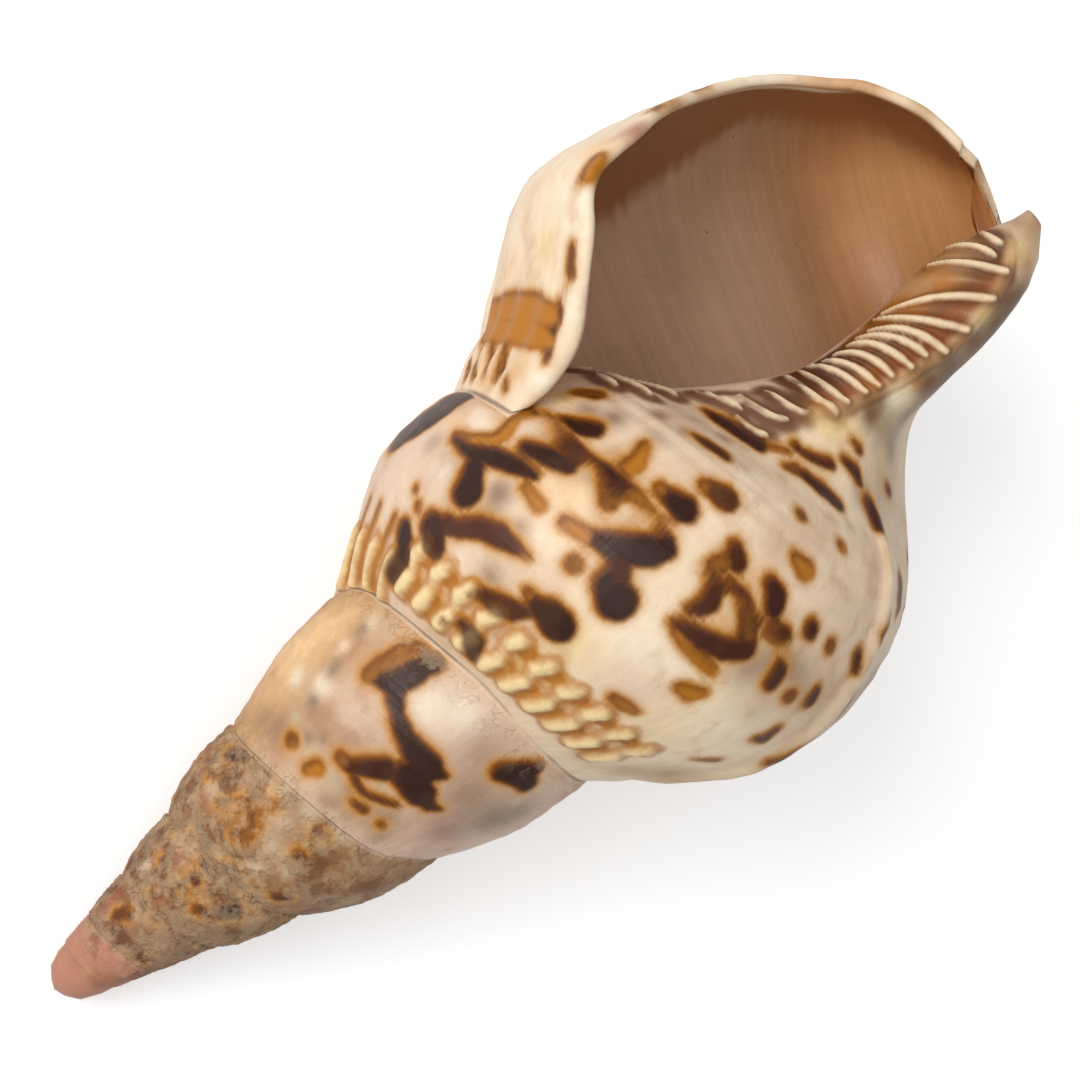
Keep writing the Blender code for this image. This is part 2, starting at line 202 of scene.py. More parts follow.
def inner(age, walk):
    """Height and radius of the hollow's wall, one wall thickness in from the outside."""
    step = 0.002
    age, walk = np.broadcast_arrays(np.asarray(age, float), np.asarray(walk, float))
    height, radius = outer(age, walk)
    height_on, radius_on = outer(age, np.minimum(walk + step, LAST_WALK))
    height_back, radius_back = outer(age, np.maximum(walk - step, 0))
    along = height_on - height_back
    out = radius_on - radius_back
    length = np.hypot(along, out)
    wall = WALL * (1 - (1 - THIN_WALL) * smooth(walk, 11, LAST_WALK))
    return height + wall * out / length, radius - wall * along / length


def place(age, height, radius):
    """Points in the shell's own axes: +X towards the lip, -Z down the axis to the canal."""
    turn = 2 * np.pi * np.asarray(age)
    across = radius * np.cos(turn) + curve(height, BEND_HEIGHT, BEND)
    return np.stack([across, radius * np.sin(turn), -height], -1)


def walk_at(age, height):
    """The walk at which the outside of an older whorl has this height."""
    return np.interp(height, outer(age, UPPER_FINE_WALKS)[0], UPPER_FINE_WALKS)


def crossing(gaps, index):
    """The fine walk at which gaps changes sign between index and index + 1."""
    part = gaps[index] / (gaps[index] - gaps[index + 1])
    return FINE_WALKS[index] + (FINE_WALKS[index + 1] - FINE_WALKS[index]) * part


def clear_walks(age):
    """The walks at which the hollow's wall leaves the whorl one turn older, and comes back to it."""
    height, radius = inner(age, FINE_WALKS)
    older_height, older_radius = outer(age + 1, UPPER_FINE_WALKS)
    gaps = radius - np.interp(height, older_height, older_radius)
    leaves = int(np.argmax(gaps > 0))
    top = crossing(gaps, leaves - 1) if leaves else 0.0
    below = leaves + 200
    returns = np.flatnonzero(gaps[below:] < 0)
    bottom = crossing(gaps, below + returns[0] - 1) if len(returns) else LAST_WALK
    return top, bottom


def lean(turned, walks):
    """Age and walk of a growth line: the first is the lip's edge, and the lean fades in a turn."""
    reach = EDGE_AGE[-1] - LIP_AGE
    left = 1 - (turned - (1 - reach) * turned**1.6) / reach
    age = LIP_AGE + turned + left * (curve(walks, EDGE_STEP, EDGE_AGE) - LIP_AGE)
    return age, walks + left * (curve(walks, EDGE_STEP, EDGE_WALK) - walks)


print("belly at the lip:", round(float(outer(0.0, 4.0)[1])), "mm radius;",
      "same place a turn older:", round(float(outer(1.0, 4.0)[1])), "mm")

# %% [markdown]
# ## Laying the skin
#
# The snail lays one growth line after another; the skin is laid the same way, a row of points for each
# line. Rows and points are close together on the side with the mouth and teeth, which carries the fine
# relief, and further apart on the side it lies on. Each whorl starts on the very points where the older
# one is covered, so the spire is one skin. The lip's edge gets extra rows, to round it.

# %%
SPIRE, PILLAR, HOLLOW, RIM = 0, 1, 2, 3

lip_side = np.linspace(0, 0.14, 37, endpoint=False)
resting_side = np.linspace(0.14, 0.6, 73, endpoint=False)
mouth_side = np.linspace(0.6, 1, 106, endpoint=False)
LINES = np.concatenate([lip_side, resting_side, mouth_side])
PER_TURN = len(LINES)
HOLLOW_END = int(np.searchsorted(LINES, 0.85))
OLDEST = 6 * PER_TURN + 4 * round(float(np.argmin(abs(LINES - 0.5))) / 4)

BAND = np.linspace(0, COVERED, 45)
BELOW = np.concatenate([
    np.linspace(5.12, 6, 9, endpoint=False),
    np.linspace(6, 9, 62, endpoint=False),
    np.linspace(9, 12, 76, endpoint=False),
    np.linspace(12, LAST_WALK, 9),
])
RIM_STEPS = 3


def turned(line):
    """Turns back from the lip's edge to this growth line."""
    return LINES[line % PER_TURN] + line // PER_TURN


def thin(values, keep):
    """Every keep-th value, with the first and last."""
    return np.unique(np.concatenate([values[::keep], values[-1:]]))


class Skin:
    """The closed surface's points, what is known of each, and its faces."""

    def __init__(self):
        self.points = []
        self.facts = []
        self.faces = []

    def row(self, kind, line_turned, age, walk, height, radius):
        """Points of one growth line, as their numbers."""
        places = place(age, height, radius)
        start = len(self.points)
        self.points.extend(places.tolist())
        columns = np.broadcast_arrays(kind, line_turned, age, walk, height, radius)
        self.facts.extend(np.stack(columns, -1).tolist())
        return list(range(start, len(self.points)))

    def extra(self, kind, at, like):
        """One more point, which takes what is known from another."""
        self.points.append(tuple(at))
        self.facts.append([kind] + self.facts[like][1:])
        return len(self.points) - 1

    def face(self, *corners):
        corners = list(dict.fromkeys(corners))
        if len(corners) > 2:
            self.faces.append(corners)

    def strip(self, one, other):
        """Faces between two rows with as many points as each other."""
        for a, b, c, d in zip(one, one[1:], other[1:], other):
            self.face(a, b, c, d)

    def zip_rows(self, one, one_at, other, other_at):
        """Faces between two rows with different numbers of points, paired by their positions."""
        i = 0
        j = 0
        while i < len(one) - 1 or j < len(other) - 1:
            done = j == len(other) - 1
            if done or (i < len(one) - 1 and one_at[i + 1] <= other_at[j + 1]):
                self.face(one[i], other[j], one[i + 1])
                i += 1
            else:
                self.face(one[i], other[j], other[j + 1])
                j += 1

    def join(self, one, other):
        """Faces between two rows, whatever their numbers of points."""
        if len(one) == len(other):
            self.strip(one, other)
        else:
            self.zip_rows(one, self.lengths(one), other, self.lengths(other))

    def lengths(self, row):
        """How far along a row each of its points is, from 0 to 1."""
        points = np.array([self.points[i] for i in row])
        steps = np.linalg.norm(np.diff(points, axis=0), axis=1)
        return list(np.concatenate([[0], np.cumsum(steps)]) / steps.sum())


def hollow_lines():
    """The growth lines kept for the hollow's wall: all near the lip, fewer further in."""
    near = list(range(0, 46))
    return near + list(range(46, HOLLOW_END, 2)) + [HOLLOW_END]


def lay_hollow(skin, lines, clears):
    """The hollow's wall, from the lip's inner edge inwards. Its ends lie on the older whorl."""
    rows = {}
    for line in lines:
        columns = np.concatenate([BAND, BELOW])
        if line:
            columns = np.concatenate([thin(BAND, 2), thin(BELOW, 4)])
        top, bottom = clears[line]
        age, walk = lean(turned(line), columns + top * (1 - smooth(columns, 0, 2)))
        end = bottom if line else LAST_WALK
        walk = walk + (end - LAST_WALK) * smooth(columns, COVERED, LAST_WALK)
        rows[line] = skin.row(HOLLOW, turned(line), age, walk, *inner(age, walk))
    return rows


def lay_last_turn(skin, hollow, clears):
    """The outside of the last turn, down to the canal's end. Its last row meets the first again."""
    rows = {}
    meets = walk_at(LIP_AGE + 1, inner(LIP_AGE, clears[0][0])[0])
    moved = meets + (BELOW - BELOW[0]) * (LAST_WALK - meets) / (LAST_WALK - BELOW[0])
    for line in range(PER_TURN + 1):
        back = 0.15 < turned(line) < 0.59
        keep = np.arange(len(BELOW))
        if back:
            keep = thin(keep, 3)
        share = smooth(turned(line), 0.3, 1.0)
        columns = np.concatenate([BAND, ((1 - share) * BELOW + share * moved)[keep]])
        age, walk = lean(turned(line), columns)
        height, radius = outer(age, walk)
        laid = skin.row(SPIRE, turned(line), age, walk, height, radius)
        if line == PER_TURN:
            laid[len(BAND) - 1] = rows[0][0]
            laid[len(BAND)] = hollow[0][0]
        rows[line] = laid
    return rows


def older_lines():
    """The growth lines kept for the older turns: fewer where the whorls are small."""
    first_change = 2 * PER_TURN
    second_change = 3 * PER_TURN + PER_TURN // 2
    lines = list(range(PER_TURN, first_change))
    lines += list(range(first_change, second_change, 2))
    lines += list(range(second_change, OLDEST, 4))
    return lines + [OLDEST]


def lay_spire(skin, rows):
    """The band between sutures on each older turn, back to the worn tip."""
    lines = older_lines()
    for line in lines[1:]:
        age = LIP_AGE + turned(line)
        band = skin.row(SPIRE, turned(line), age, BAND[:-1], *outer(age, BAND[:-1]))
        below = line - PER_TURN
        while below not in rows:
            below -= 1
        rows[line] = band + [rows[below][0]]
    for one, other in zip(lines, lines[1:]):
        last = len(BAND) - 1
        skin.strip(rows[one][:last], rows[other][:last])
        covered = [rows[line][0] for line in range(one - PER_TURN, other - PER_TURN + 1) if line in rows]
        skin.face(rows[one][last - 1], *covered, rows[other][last - 1])


def lay_pillar(skin, rows, hollow, clears):
    """The older whorl's outside where the hollow runs over it: the part that carries the teeth."""
    pillar = {PER_TURN: rows[PER_TURN][len(BAND):-1]}
    tip_edge = [(rows[PER_TURN][-1], LIP_AGE + 1)]
    for line in [PER_TURN + line for line in list(hollow)[1:]]:
        age = LIP_AGE + turned(line)
        inside = line - PER_TURN
        reaches_tip = age - 1 < PILLAR_END_AGE
        top, bottom = clears[inside]
        first = walk_at(age, inner(age - 1, top)[0])
        last = LAST_WALK if reaches_tip else walk_at(age, inner(age - 1, bottom)[0])
        share = (BELOW - BELOW[0]) / (LAST_WALK - BELOW[0])
        if inside > 45:
            share = thin(share, 3)
        walk = first + (last - first) * share
        height, radius = outer(age, walk)
        laid = skin.row(PILLAR, turned(line), age, walk, height, radius)
        pillar[line] = [hollow[inside][0]] + laid[1:-1]
        if reaches_tip:
            tip_edge.append((laid[-1], age))
    lines = list(pillar)
    for one, other in zip(lines, lines[1:]):
        skin.join(pillar[one], pillar[other])
    ends = [(row[-1], 1 + lean(turned(line), np.array([13.0]))[0][0]) for line, row in hollow.items()]
    foot = tip_edge + ends
    ages = [LIP_AGE + turned(line) for line in lines]
    skin.zip_rows([pillar[line][-1] for line in lines], ages, *zip(*foot))
    deepest = pillar[lines[-1]] + [hollow[lines[-1] - PER_TURN][-1]]
    skin.join(deepest, hollow[lines[-1] - PER_TURN])
    return [point for point, age in tip_edge[1:]]


def round_the_rim(skin, outside, inside, behind):
    """Rows between the lip's outer and inner edges that bulge forward, so the edge is round."""
    one = np.array([skin.points[i] for i in outside])
    other = np.array([skin.points[i] for i in inside])
    forward = one - np.array([skin.points[i] for i in behind])
    forward /= np.linalg.norm(forward, axis=1)[:, None] + 1e-9
    half = np.linalg.norm(one - other, axis=1)[:, None] / 2
    rows = [outside]
    for step in range(1, RIM_STEPS + 1):
        around = math.pi * step / (RIM_STEPS + 1)
        middle = (one + other) / 2 + (one - other) / 2 * math.cos(around)
        bulge = middle + forward * half * math.sin(around)
        row = [skin.extra(RIM, at, like) for at, like in zip(bulge[1:-1], outside[1:-1])]
        rows.append([outside[0]] + row + [outside[-1]])
    rows.append(inside)
    for near, far in zip(rows, rows[1:]):
        skin.strip(near, far)


def close_canal_end(skin, ring):
    middle = np.mean([skin.points[i] for i in ring], axis=0)
    middle[2] = -CANAL_END_HEIGHT - 0.1
    centre = skin.extra(SPIRE, middle, ring[0])
    for a, b in zip(ring, ring[1:] + ring[:1]):
        skin.face(a, b, centre)


def close_worn_tip(skin, rows):
    """A blunt, slightly domed end over the oldest turn."""
    newest = [line for line in rows if line >= OLDEST - PER_TURN]
    edge = [rows[line][0] for line in newest] + rows[OLDEST][1:-1]
    rings = [edge]
    for shrink, flat in ((0.93, 0.35), (0.72, 0.75), (0.4, 0.92)):
        ring = []
        for i in edge:
            x, y, z = skin.points[i]
            top = (shrink * x, shrink * y, (1 - flat) * z - flat * (TIP_HEIGHT + 1.8 * shrink))
            ring.append(skin.extra(SPIRE, top, i))
        rings.append(ring)
    for near, far in zip(rings, rings[1:]):
        skin.strip(near + near[:1], far + far[:1])
    centre = skin.extra(SPIRE, (0, 0, -TIP_HEIGHT), edge[0])
    for a, b in zip(rings[-1], rings[-1][1:] + rings[-1][:1]):
        skin.face(a, b, centre)


def lay_skin():
    skin = Skin()
    lines = hollow_lines()
    clears = {line: clear_walks(LIP_AGE + turned(line)) for line in lines}
    hollow = lay_hollow(skin, lines, clears)
    rows = lay_last_turn(skin, hollow, clears)
    hollow[0][-1] = rows[0][-1]
    for line in range(PER_TURN):
        skin.join(rows[line], rows[line + 1])
    for one, other in zip(lines, lines[1:]):
        skin.join(hollow[one], hollow[other])
    round_the_rim(skin, rows[0], hollow[0], rows[2])
    tip_edge = lay_pillar(skin, rows, hollow, clears)
    lay_spire(skin, rows)
    close_canal_end(skin, [rows[line][-1] for line in range(PER_TURN + 1)] + tip_edge)
    close_worn_tip(skin, rows)
    return skin


skin = lay_skin()
facts = np.array(skin.facts)
kind, grown, age, walk, height, radius = facts.T
places = np.array(skin.points)
corners = sum(len(face) - 2 for face in skin.faces)
print("skin:", len(places), "points,", corners, "triangles,", PER_TURN, "growth lines a turn")

# %% [markdown]
# ## Marks left by the snail
#
# The animal's mantle lays down colour as the lip moves on, so a spot starts golden on its older side
# and ends dark and crisp. Each mark below is a brush stroke on the shell: a few places along it, as
# age, height and half its width in mm. Distances to the strokes are worked out in space and stored on
# the skin, and the glaze draws the edges from them, so a spot stays sharp however coarse the skin is.
# The beads, the marks between them and the spots on the lip's edge are laid by rule. The side it lies
# on can't be seen, so its spots come from the same spiral rows with a fixed seed.

# %%
# Each group: how dark its strokes are, from 0 golden to 1 nearly black, then the strokes
BLOTCHES = [
    # shoulder and belly of the last whorl, from the lip's suture back
    (1.00, [(0.95, 148, 5.5), (0.94, 153, 6.5), (0.935, 158, 6.5), (0.93, 162, 5), (0.922, 166, 2.6)]),
    (0.30, [(0.90, 167, 0.8), (0.885, 168, 0.9), (0.868, 172, 0.8)]),
    (0.80, [(0.868, 172, 0.5), (0.855, 174, 0.6), (0.838, 174.7, 0.6), (0.822, 175, 0.9)]),
    (1.00, [(0.822, 175, 0.9), (0.806, 175.2, 1.4), (0.794, 176.5, 1.7), (0.783, 177.4, 1.7)]),
    (0.45, [(0.783, 177.4, 1.5), (0.769, 178.3, 1.4), (0.758, 178.1, 1.3)]),
    (1.00, [(0.75, 178.3, 1.3), (0.737, 177.6, 1.8)]),
    (0.15, [(0.887, 156.5, 0.8), (0.874, 158.2, 1.2), (0.86, 161.9, 1.5),
            (0.858, 164.8, 1.7), (0.865, 168, 1.2)]),
    (1.00, [(0.884, 156.1, 1.2), (0.863, 157.1, 2), (0.85, 159.7, 2.4),
            (0.833, 162.5, 2.2), (0.818, 164.4, 1)]),
    (1.00, [(0.84, 166.5, 1.6), (0.825, 169, 2.6), (0.812, 171, 2.2)]),
    (1.00, [(0.856, 156.5, 2.2), (0.848, 154, 3), (0.8425, 151.7, 3.9)]),
    (0.90, [(0.846, 141, 4), (0.836, 139, 3)]),
    (0.05, [(0.868, 141.3, 1.2)]),
    (0.50, [(0.88, 143, 0.8)]),
    (0.80, [(0.838, 144, 2.4), (0.831, 145, 2), (0.817, 149.2, 2.4),
            (0.804, 151.4, 2.6), (0.792, 152.5, 1.6)]),
    (0.80, [(0.792, 152.5, 1.4), (0.779, 153.6, 0.4)]),
    (0.95, [(0.872, 136, 2.5), (0.86, 133, 3.2), (0.862, 128.5, 3)]),
    (1.00, [(0.738, 163, 3.6), (0.73, 162.5, 4.5)]),
    (0.40, [(0.76, 160, 1.8)]),
    (0.10, [(0.783, 163.5, 1.2), (0.772, 165, 1.5), (0.765, 166, 1.3)]),
    (0.10, [(0.815, 161.5, 1), (0.80, 161.5, 1.2)]),
    (1.00, [(0.764, 166.5, 2), (0.755, 168.5, 3), (0.747, 171, 3.4), (0.74, 174, 3.4), (0.737, 176.5, 2.8)]),
    (0.75, [(0.745, 167, 2.6), (0.738, 165, 2.4)]),
    (0.50, [(0.79, 174.5, 1), (0.785, 174.5, 1.6), (0.777, 173, 1.9)]),
    (1.00, [(0.848, 175.5, 0.8), (0.843, 176.5, 1.4), (0.832, 178.2, 2.6), (0.826, 179.8, 2.4)]),
    (0.55, [(0.868, 182, 1), (0.859, 185, 2.1)]),
    (0.20, [(0.797, 186.3, 0.9), (0.794, 185, 1.3), (0.789, 182.5, 1.8), (0.789, 180.7, 2)]),
    (0.30, [(0.765, 183, 1.6)]),
    (1.00, [(0.757, 183.5, 2.4), (0.748, 184.2, 3.4)]),
    (0.30, [(0.75, 190.7, 1.4)]),
    (0.65, [(0.745, 191.5, 2.2), (0.736, 192.5, 3.1)]),
    (0.95, [(0.828, 202.5, 0.8), (0.81, 203, 1.8), (0.777, 205, 2.3), (0.75, 206.7, 2.3)]),
    (0.40, [(0.74, 208, 0.7), (0.715, 211, 0.7)]),
    (0.80, [(0.785, 196, 0.8), (0.775, 197, 1.6), (0.76, 198.2, 1.6)]),
    (0.75, [(0.708, 187.8, 1.8), (0.702, 186.5, 2.4)]),
    (0.45, [(0.705, 185.5, 1.5), (0.709, 183, 1.5), (0.71, 180.5, 1.3)]),
    (0.75, [(0.702, 181, 1.6), (0.699, 179.5, 2.1), (0.6956, 177.2, 2.3),
            (0.697, 174.5, 1.8), (0.70, 173, 1)]),
    (0.60, [(0.695, 182.7, 1.2), (0.683, 183, 1.8), (0.671, 181.6, 2.3), (0.662, 178.7, 2.4)]),
    (0.85, [(0.699, 169, 0.9), (0.693, 170.2, 1.6), (0.682, 171.3, 2.2),
            (0.6675, 173.9, 2.6), (0.659, 177.5, 2.6)]),
    (0.20, [(0.695, 168.5, 1), (0.685, 168, 1), (0.672, 168.5, 1), (0.66, 169.5, 1)]),
    (0.90, [(0.675, 189.5, 2), (0.668, 188.8, 2.8), (0.664, 187, 2.3)]),
    (0.65, [(0.655, 184, 2.2), (0.645, 185.5, 2.2)]),
    (0.85, [(0.632, 191, 2.2)]),
    (0.15, [(0.672, 197, 1.2), (0.662, 197.3, 2.3)]),
    (0.15, [(0.637, 207.2, 1.2)]),
    (0.50, [(0.683, 203.8, 1.3)]),
    (0.60, [(0.705, 208.5, 1), (0.695, 210, 1.5)]),
    (0.90, [(0.685, 210.7, 1.5), (0.657, 212, 2), (0.636, 212.9, 1.7)]),
    (0.80, [(0.712, 213.3, 1.3)]),
    (0.75, [(0.70, 213.6, 1), (0.677, 215.5, 1.4), (0.66, 217.2, 1.3)]),
    (0.85, [(0.64, 220.5, 0.9), (0.632, 220.8, 1.2), (0.615, 221.3, 1.6), (0.605, 220.5, 1)]),
    (0.60, [(0.635, 225, 0.6), (0.62, 225, 1.1)]),
    (0.85, [(0.583, 219.5, 1.8), (0.572, 217.8, 1.9)]),
    (0.60, [(0.53, 226, 1.3)]),
    (0.75, [(0.53, 216, 1.2), (0.53, 213.5, 1.6), (0.533, 211, 1.2)]),
    (0.70, [(0.557, 206.5, 1.5), (0.562, 203.5, 1.6)]),
    (0.75, [(0.578, 196.8, 1.4), (0.572, 194.5, 1.3)]),
    (0.50, [(0.609, 192.5, 1.6)]),
    (0.85, [(0.635, 181.5, 1), (0.63, 180.5, 2.2), (0.627, 177.7, 1.9)]),
    (0.45, [(0.607, 179.5, 1.7)]),
    (0.15, [(0.662, 162.2, 1.2), (0.655, 163.3, 1.8), (0.651, 165.3, 1)]),
    (0.35, [(0.675, 150.3, 1.2), (0.667, 150.9, 1.8), (0.661, 151.8, 1.2)]),
    (0.75, [(0.592, 184.5, 1.6), (0.59, 182.5, 1.8)]),
    (0.80, [(0.592, 168.5, 0.7), (0.586, 170.2, 1.5), (0.587, 173.5, 1)]),
    (0.70, [(0.59, 156, 0.4), (0.583, 159.5, 0.8)]),
    (0.75, [(0.555, 168, 0.8), (0.55, 174, 1.2), (0.545, 180, 1.2), (0.54, 186, 1.2), (0.54, 191, 1)]),
    # dark spots across the beads below the suture
    (0.90, [(0.7935, 132.3, 1.5)]),
    (0.80, [(0.792, 140, 1.3), (0.787, 141.2, 1.8), (0.777, 142.1, 2.4),
            (0.764, 144.2, 2.6), (0.757, 146.5, 1.6)]),
    (1.00, [(0.783, 134, 1.6), (0.772, 134.8, 2.4), (0.766, 134.6, 2.8), (0.758, 132, 2.2)]),
    (0.30, [(0.763, 149.2, 1.4)]),
    (1.00, [(0.755, 149, 2.4), (0.745, 150, 3.7), (0.739, 150, 4.2)]),
    # the lip's outer face
    (0.05, [(-0.035, 179, 3), (-0.07, 182.5, 3.2), (-0.10, 185.8, 3), (-0.12, 187.5, 2.2)]),
    (0.05, [(-0.04, 175.5, 2.4), (-0.08, 179.3, 2.8), (-0.11, 182.3, 2.8), (-0.123, 184, 2)]),
    (0.50, [(-0.045, 182, 0.5), (-0.075, 184.7, 0.6), (-0.10, 188, 0.6)]),
    (0.50, [(-0.05, 178, 0.5), (-0.085, 180.7, 0.7), (-0.112, 184, 0.6)]),
    (0.45, [(-0.05, 175, 0.5), (-0.085, 177.8, 0.6), (-0.115, 181, 0.6)]),
    (0.70, [(-0.12, 189.5, 1.3), (-0.121, 186.8, 2.3), (-0.12, 184, 1.2)]),
    (0.75, [(-0.125, 183, 1.5), (-0.128, 181.5, 1.5)]),
    (0.55, [(-0.114, 198.5, 0.9), (-0.12, 194.5, 1.4)]),
    # the whorl before
    (0.35, [(1.812, 111.8, 1.8), (1.81, 114.5, 2.2), (1.803, 120.5, 2.4), (1.795, 123.5, 1.6)]),
    (1.00, [(1.80, 113.8, 2.4), (1.79, 115, 3.2), (1.786, 119, 3.4),
            (1.782, 122.5, 2.8), (1.775, 124.8, 2.1)]),
    (0.95, [(1.775, 113.2, 2.2), (1.765, 112, 1.5), (1.755, 111, 1.9), (1.738, 110.2, 2.2)]),
    (1.00, [(1.728, 110, 2.8), (1.703, 109.8, 3.8), (1.69, 110.8, 1.8), (1.682, 111.8, 0.8)]),
    (1.00, [(1.706, 105.5, 4), (1.684, 105.2, 3.6), (1.665, 105, 1.8), (1.652, 106.2, 0.6)]),
    (0.90, [(1.728, 102.5, 2.8), (1.742, 99.3, 2.2), (1.752, 97, 1.9)]),
    (0.40, [(1.752, 97, 1.9), (1.766, 96.3, 1.5)]),
    (0.85, [(1.738, 96, 1.1), (1.72, 95.5, 0.8), (1.70, 97.5, 0.9), (1.685, 99.5, 0.8)]),
    (0.60, [(1.715, 92.5, 0.7), (1.70, 93.2, 1.0)]),
    (1.00, [(1.645, 121.5, 2.4), (1.625, 124.5, 3.6), (1.61, 124, 2.4)]),
    (0.90, [(1.62, 128, 1.6)]),
    (0.45, [(1.825, 89.5, 1.6)]),
    (0.15, [(1.782, 88.8, 1.2), (1.776, 90.6, 1.6)]),
    (0.50, [(1.67, 94, 0.9)]),
    # the spire
    (0.85, [(2.885, 75.5, 1.6), (2.865, 78.5, 1.8)]),
    (0.30, [(2.875, 69.5, 0.9), (2.87, 73, 1)]),
    (0.25, [(2.825, 68.5, 1), (2.805, 71, 1.6), (2.787, 76, 1.6), (2.772, 78, 1.2)]),
    (0.25, [(2.787, 74.5, 1.4), (2.765, 73, 1.4), (2.762, 70, 1.3), (2.772, 67, 1.1)]),
    (0.55, [(2.71, 82, 1), (2.70, 83, 1.1)]),
    (0.50, [(2.697, 76, 1.3)]),
    (0.80, [(2.74, 61, 1.3), (2.73, 62, 1.3)]),
    (0.90, [(2.685, 63.5, 0.9)]),
    (0.75, [(2.645, 65.5, 1.4), (2.64, 67.5, 1.2)]),
    (0.90, [(2.83, 58, 0.9)]),
    (0.80, [(3.87, 56, 0.8)]),
    (0.85, [(3.77, 57.5, 1.4)]),
    (0.75, [(3.83, 49.5, 1.1)]),
    (0.80, [(3.76, 53.5, 1.5)]),
    (0.60, [(3.76, 50, 1.0)]),
    (1.00, [(3.672, 53.5, 2), (3.66, 55.5, 2.4)]),
    (0.70, [(3.68, 57.5, 1.2)]),
    (0.80, [(3.62, 61, 1.7)]),
    (0.45, [(3.70, 50, 1.6)]),
    (0.80, [(4.74, 40.5, 1.1), (4.73, 42, 0.8)]),
    (0.60, [(4.82, 33.5, 1), (4.79, 36.2, 0.9)]),
    (0.90, [(4.66, 31, 0.7), (4.64, 32.5, 0.7)]),
]

# The grooves between the pleats of the lip's outer face: (age, height, half width in mm)
LIP_GROOVES = [
    [(-0.088, 176.2, 0.5), (-0.091, 173.3, 0.8), (-0.093, 170.2, 0.5)],
    [(-0.063, 175.3, 0.4), (-0.07, 172.5, 0.75), (-0.078, 169.5, 0.5)],
    [(-0.045, 172.5, 0.4), (-0.052, 169.8, 0.65), (-0.06, 167, 0.4)],
    [(-0.026, 171, 0.4), (-0.034, 168, 0.65), (-0.042, 165.5, 0.4)],
    [(-0.108, 172.5, 0.4), (-0.11, 170.5, 0.6)],
]

# The teeth of the pillar, from inside the mouth outwards: (age, height in mm) along each crest
TEETH = [
    [(0.93, 277), (0.87, 277.5), (0.82, 278)],
    [(0.96, 269), (0.88, 273), (0.80, 275)],
    [(0.93, 263), (0.82, 270), (0.73, 274.5)],
    [(0.90, 248), (0.80, 260), (0.70, 268.5)],
    [(0.90, 246), (0.80, 252.5), (0.683, 260)],
    [(0.87, 243), (0.79, 249.5), (0.672, 253.5)],
    [(0.875, 240), (0.80, 246), (0.70, 249.5)],
    [(0.87, 237.5), (0.815, 242), (0.70, 245.3)],
    [(0.87, 234), (0.81, 238.5), (0.71, 240.8)],
    [(0.87, 231), (0.81, 234.5), (0.705, 237)],
    [(0.88, 227.5), (0.82, 231), (0.71, 233.7)],
    [(0.87, 225), (0.79, 227), (0.715, 228.5)],
    [(0.865, 222), (0.78, 223.5), (0.71, 225)],
    [(0.83, 216), (0.78, 217.5), (0.745, 219.5)],
    [(0.84, 210.5), (0.79, 212), (0.755, 215)],
    [(0.855, 208), (0.82, 209.5)],
    [(0.88, 203.5), (0.85, 206), (0.81, 208.5)],
    [(0.80, 206.5), (0.77, 207.5), (0.755, 209)],
    [(0.93, 190), (0.91, 196), (0.87, 199)],
    [(0.91, 189), (0.88, 192), (0.85, 194)],
    [(0.93, 184), (0.92, 188)],
    [(0.90, 188), (0.87, 189.5)],
]
TOOTH_HALF_WIDTH = 0.78
TOOTH_HEIGHT = 1.5
MARGIN = [
    (0.74, 221, 1.4), (0.705, 229, 1.6), (0.69, 235, 1.7), (0.68, 242, 1.8), (0.668, 249, 1.8),
    (0.66, 255, 1.8), (0.668, 261, 1.8), (0.685, 267, 1.8), (0.705, 273, 1.7), (0.75, 278, 1.4),
    (0.80, 280, 1.2),
]

# The beads in front of the mouth: two rows of short bars, one bar a pitch, each from one walk to another.
# Beside the mouth's suture the rows run together into pleats. The last number is a half width in mm.
BEAD_PITCH = 0.0252
FIRST_BEAD = 0.62
LAST_BEAD = 0.85
BEAD_ROWS = ((0.9, 1.25, 1.7), (1.55, 1.75, 1.6))
BEAD_LEAN = 0.002
PLEAT_PITCH = 0.03
FIRST_PLEAT = 0.875
LAST_PLEAT = 0.97
PLEAT = (0.1, 1.3, 1.3)

# The marks in the gaps, which darken away from the lip; none where the large dark spots cross the rows
GAP_ROWS = ((0.9, 1.25, 0.9), (1.6, 1.65, 1.3))
GAP_TONES = ((0.62, 0.55), (0.72, 0.1))
SPOTTED_BEADS = (0.75, 0.80)
PLEAT_GAP = (0.3, 1.8, 0.8)
PLEAT_GAP_TONE = 0.05

# Spots on the lip's edge: (darkness, from walk, to walk, half width in mm)
EDGE_SPOTS = [(0.25, 3.0, 3.3, 1.9), (0.60, 4.6, 4.8, 0.7), (0.70, 5.4, 5.6, 0.7)]


def on_shell(age, height):
    """The point on the shell's outside at this age and height."""
    heights, radii = outer(age, FINE_WALKS)
    return place(age, height, np.interp(height, np.maximum.accumulate(heights), radii))


def on_edge(edge_walk):
    """Age and height of the lip's edge at this walk along it."""
    edge_age, own_walk = lean(0.0, edge_walk)
    return float(edge_age), float(outer(edge_age, own_walk)[0])


def growth_bar(at, low_walk, high_walk, half_width):
    """A stroke along a growth line, from one walk to another."""
    low_height = float(outer(at, low_walk)[0])
    high_height = float(outer(at, high_walk)[0])
    return [(at + BEAD_LEAN, low_height, half_width), (at - BEAD_LEAN, high_height, half_width)]


def bead_bars():
    """The two rows of beads in front of the mouth, and the pleats beside its suture."""
    beads = [growth_bar(at, *row) for at in np.arange(FIRST_BEAD, LAST_BEAD, BEAD_PITCH) for row in BEAD_ROWS]
    return beads + [growth_bar(at, *PLEAT) for at in np.arange(FIRST_PLEAT, LAST_PLEAT, PLEAT_PITCH)]


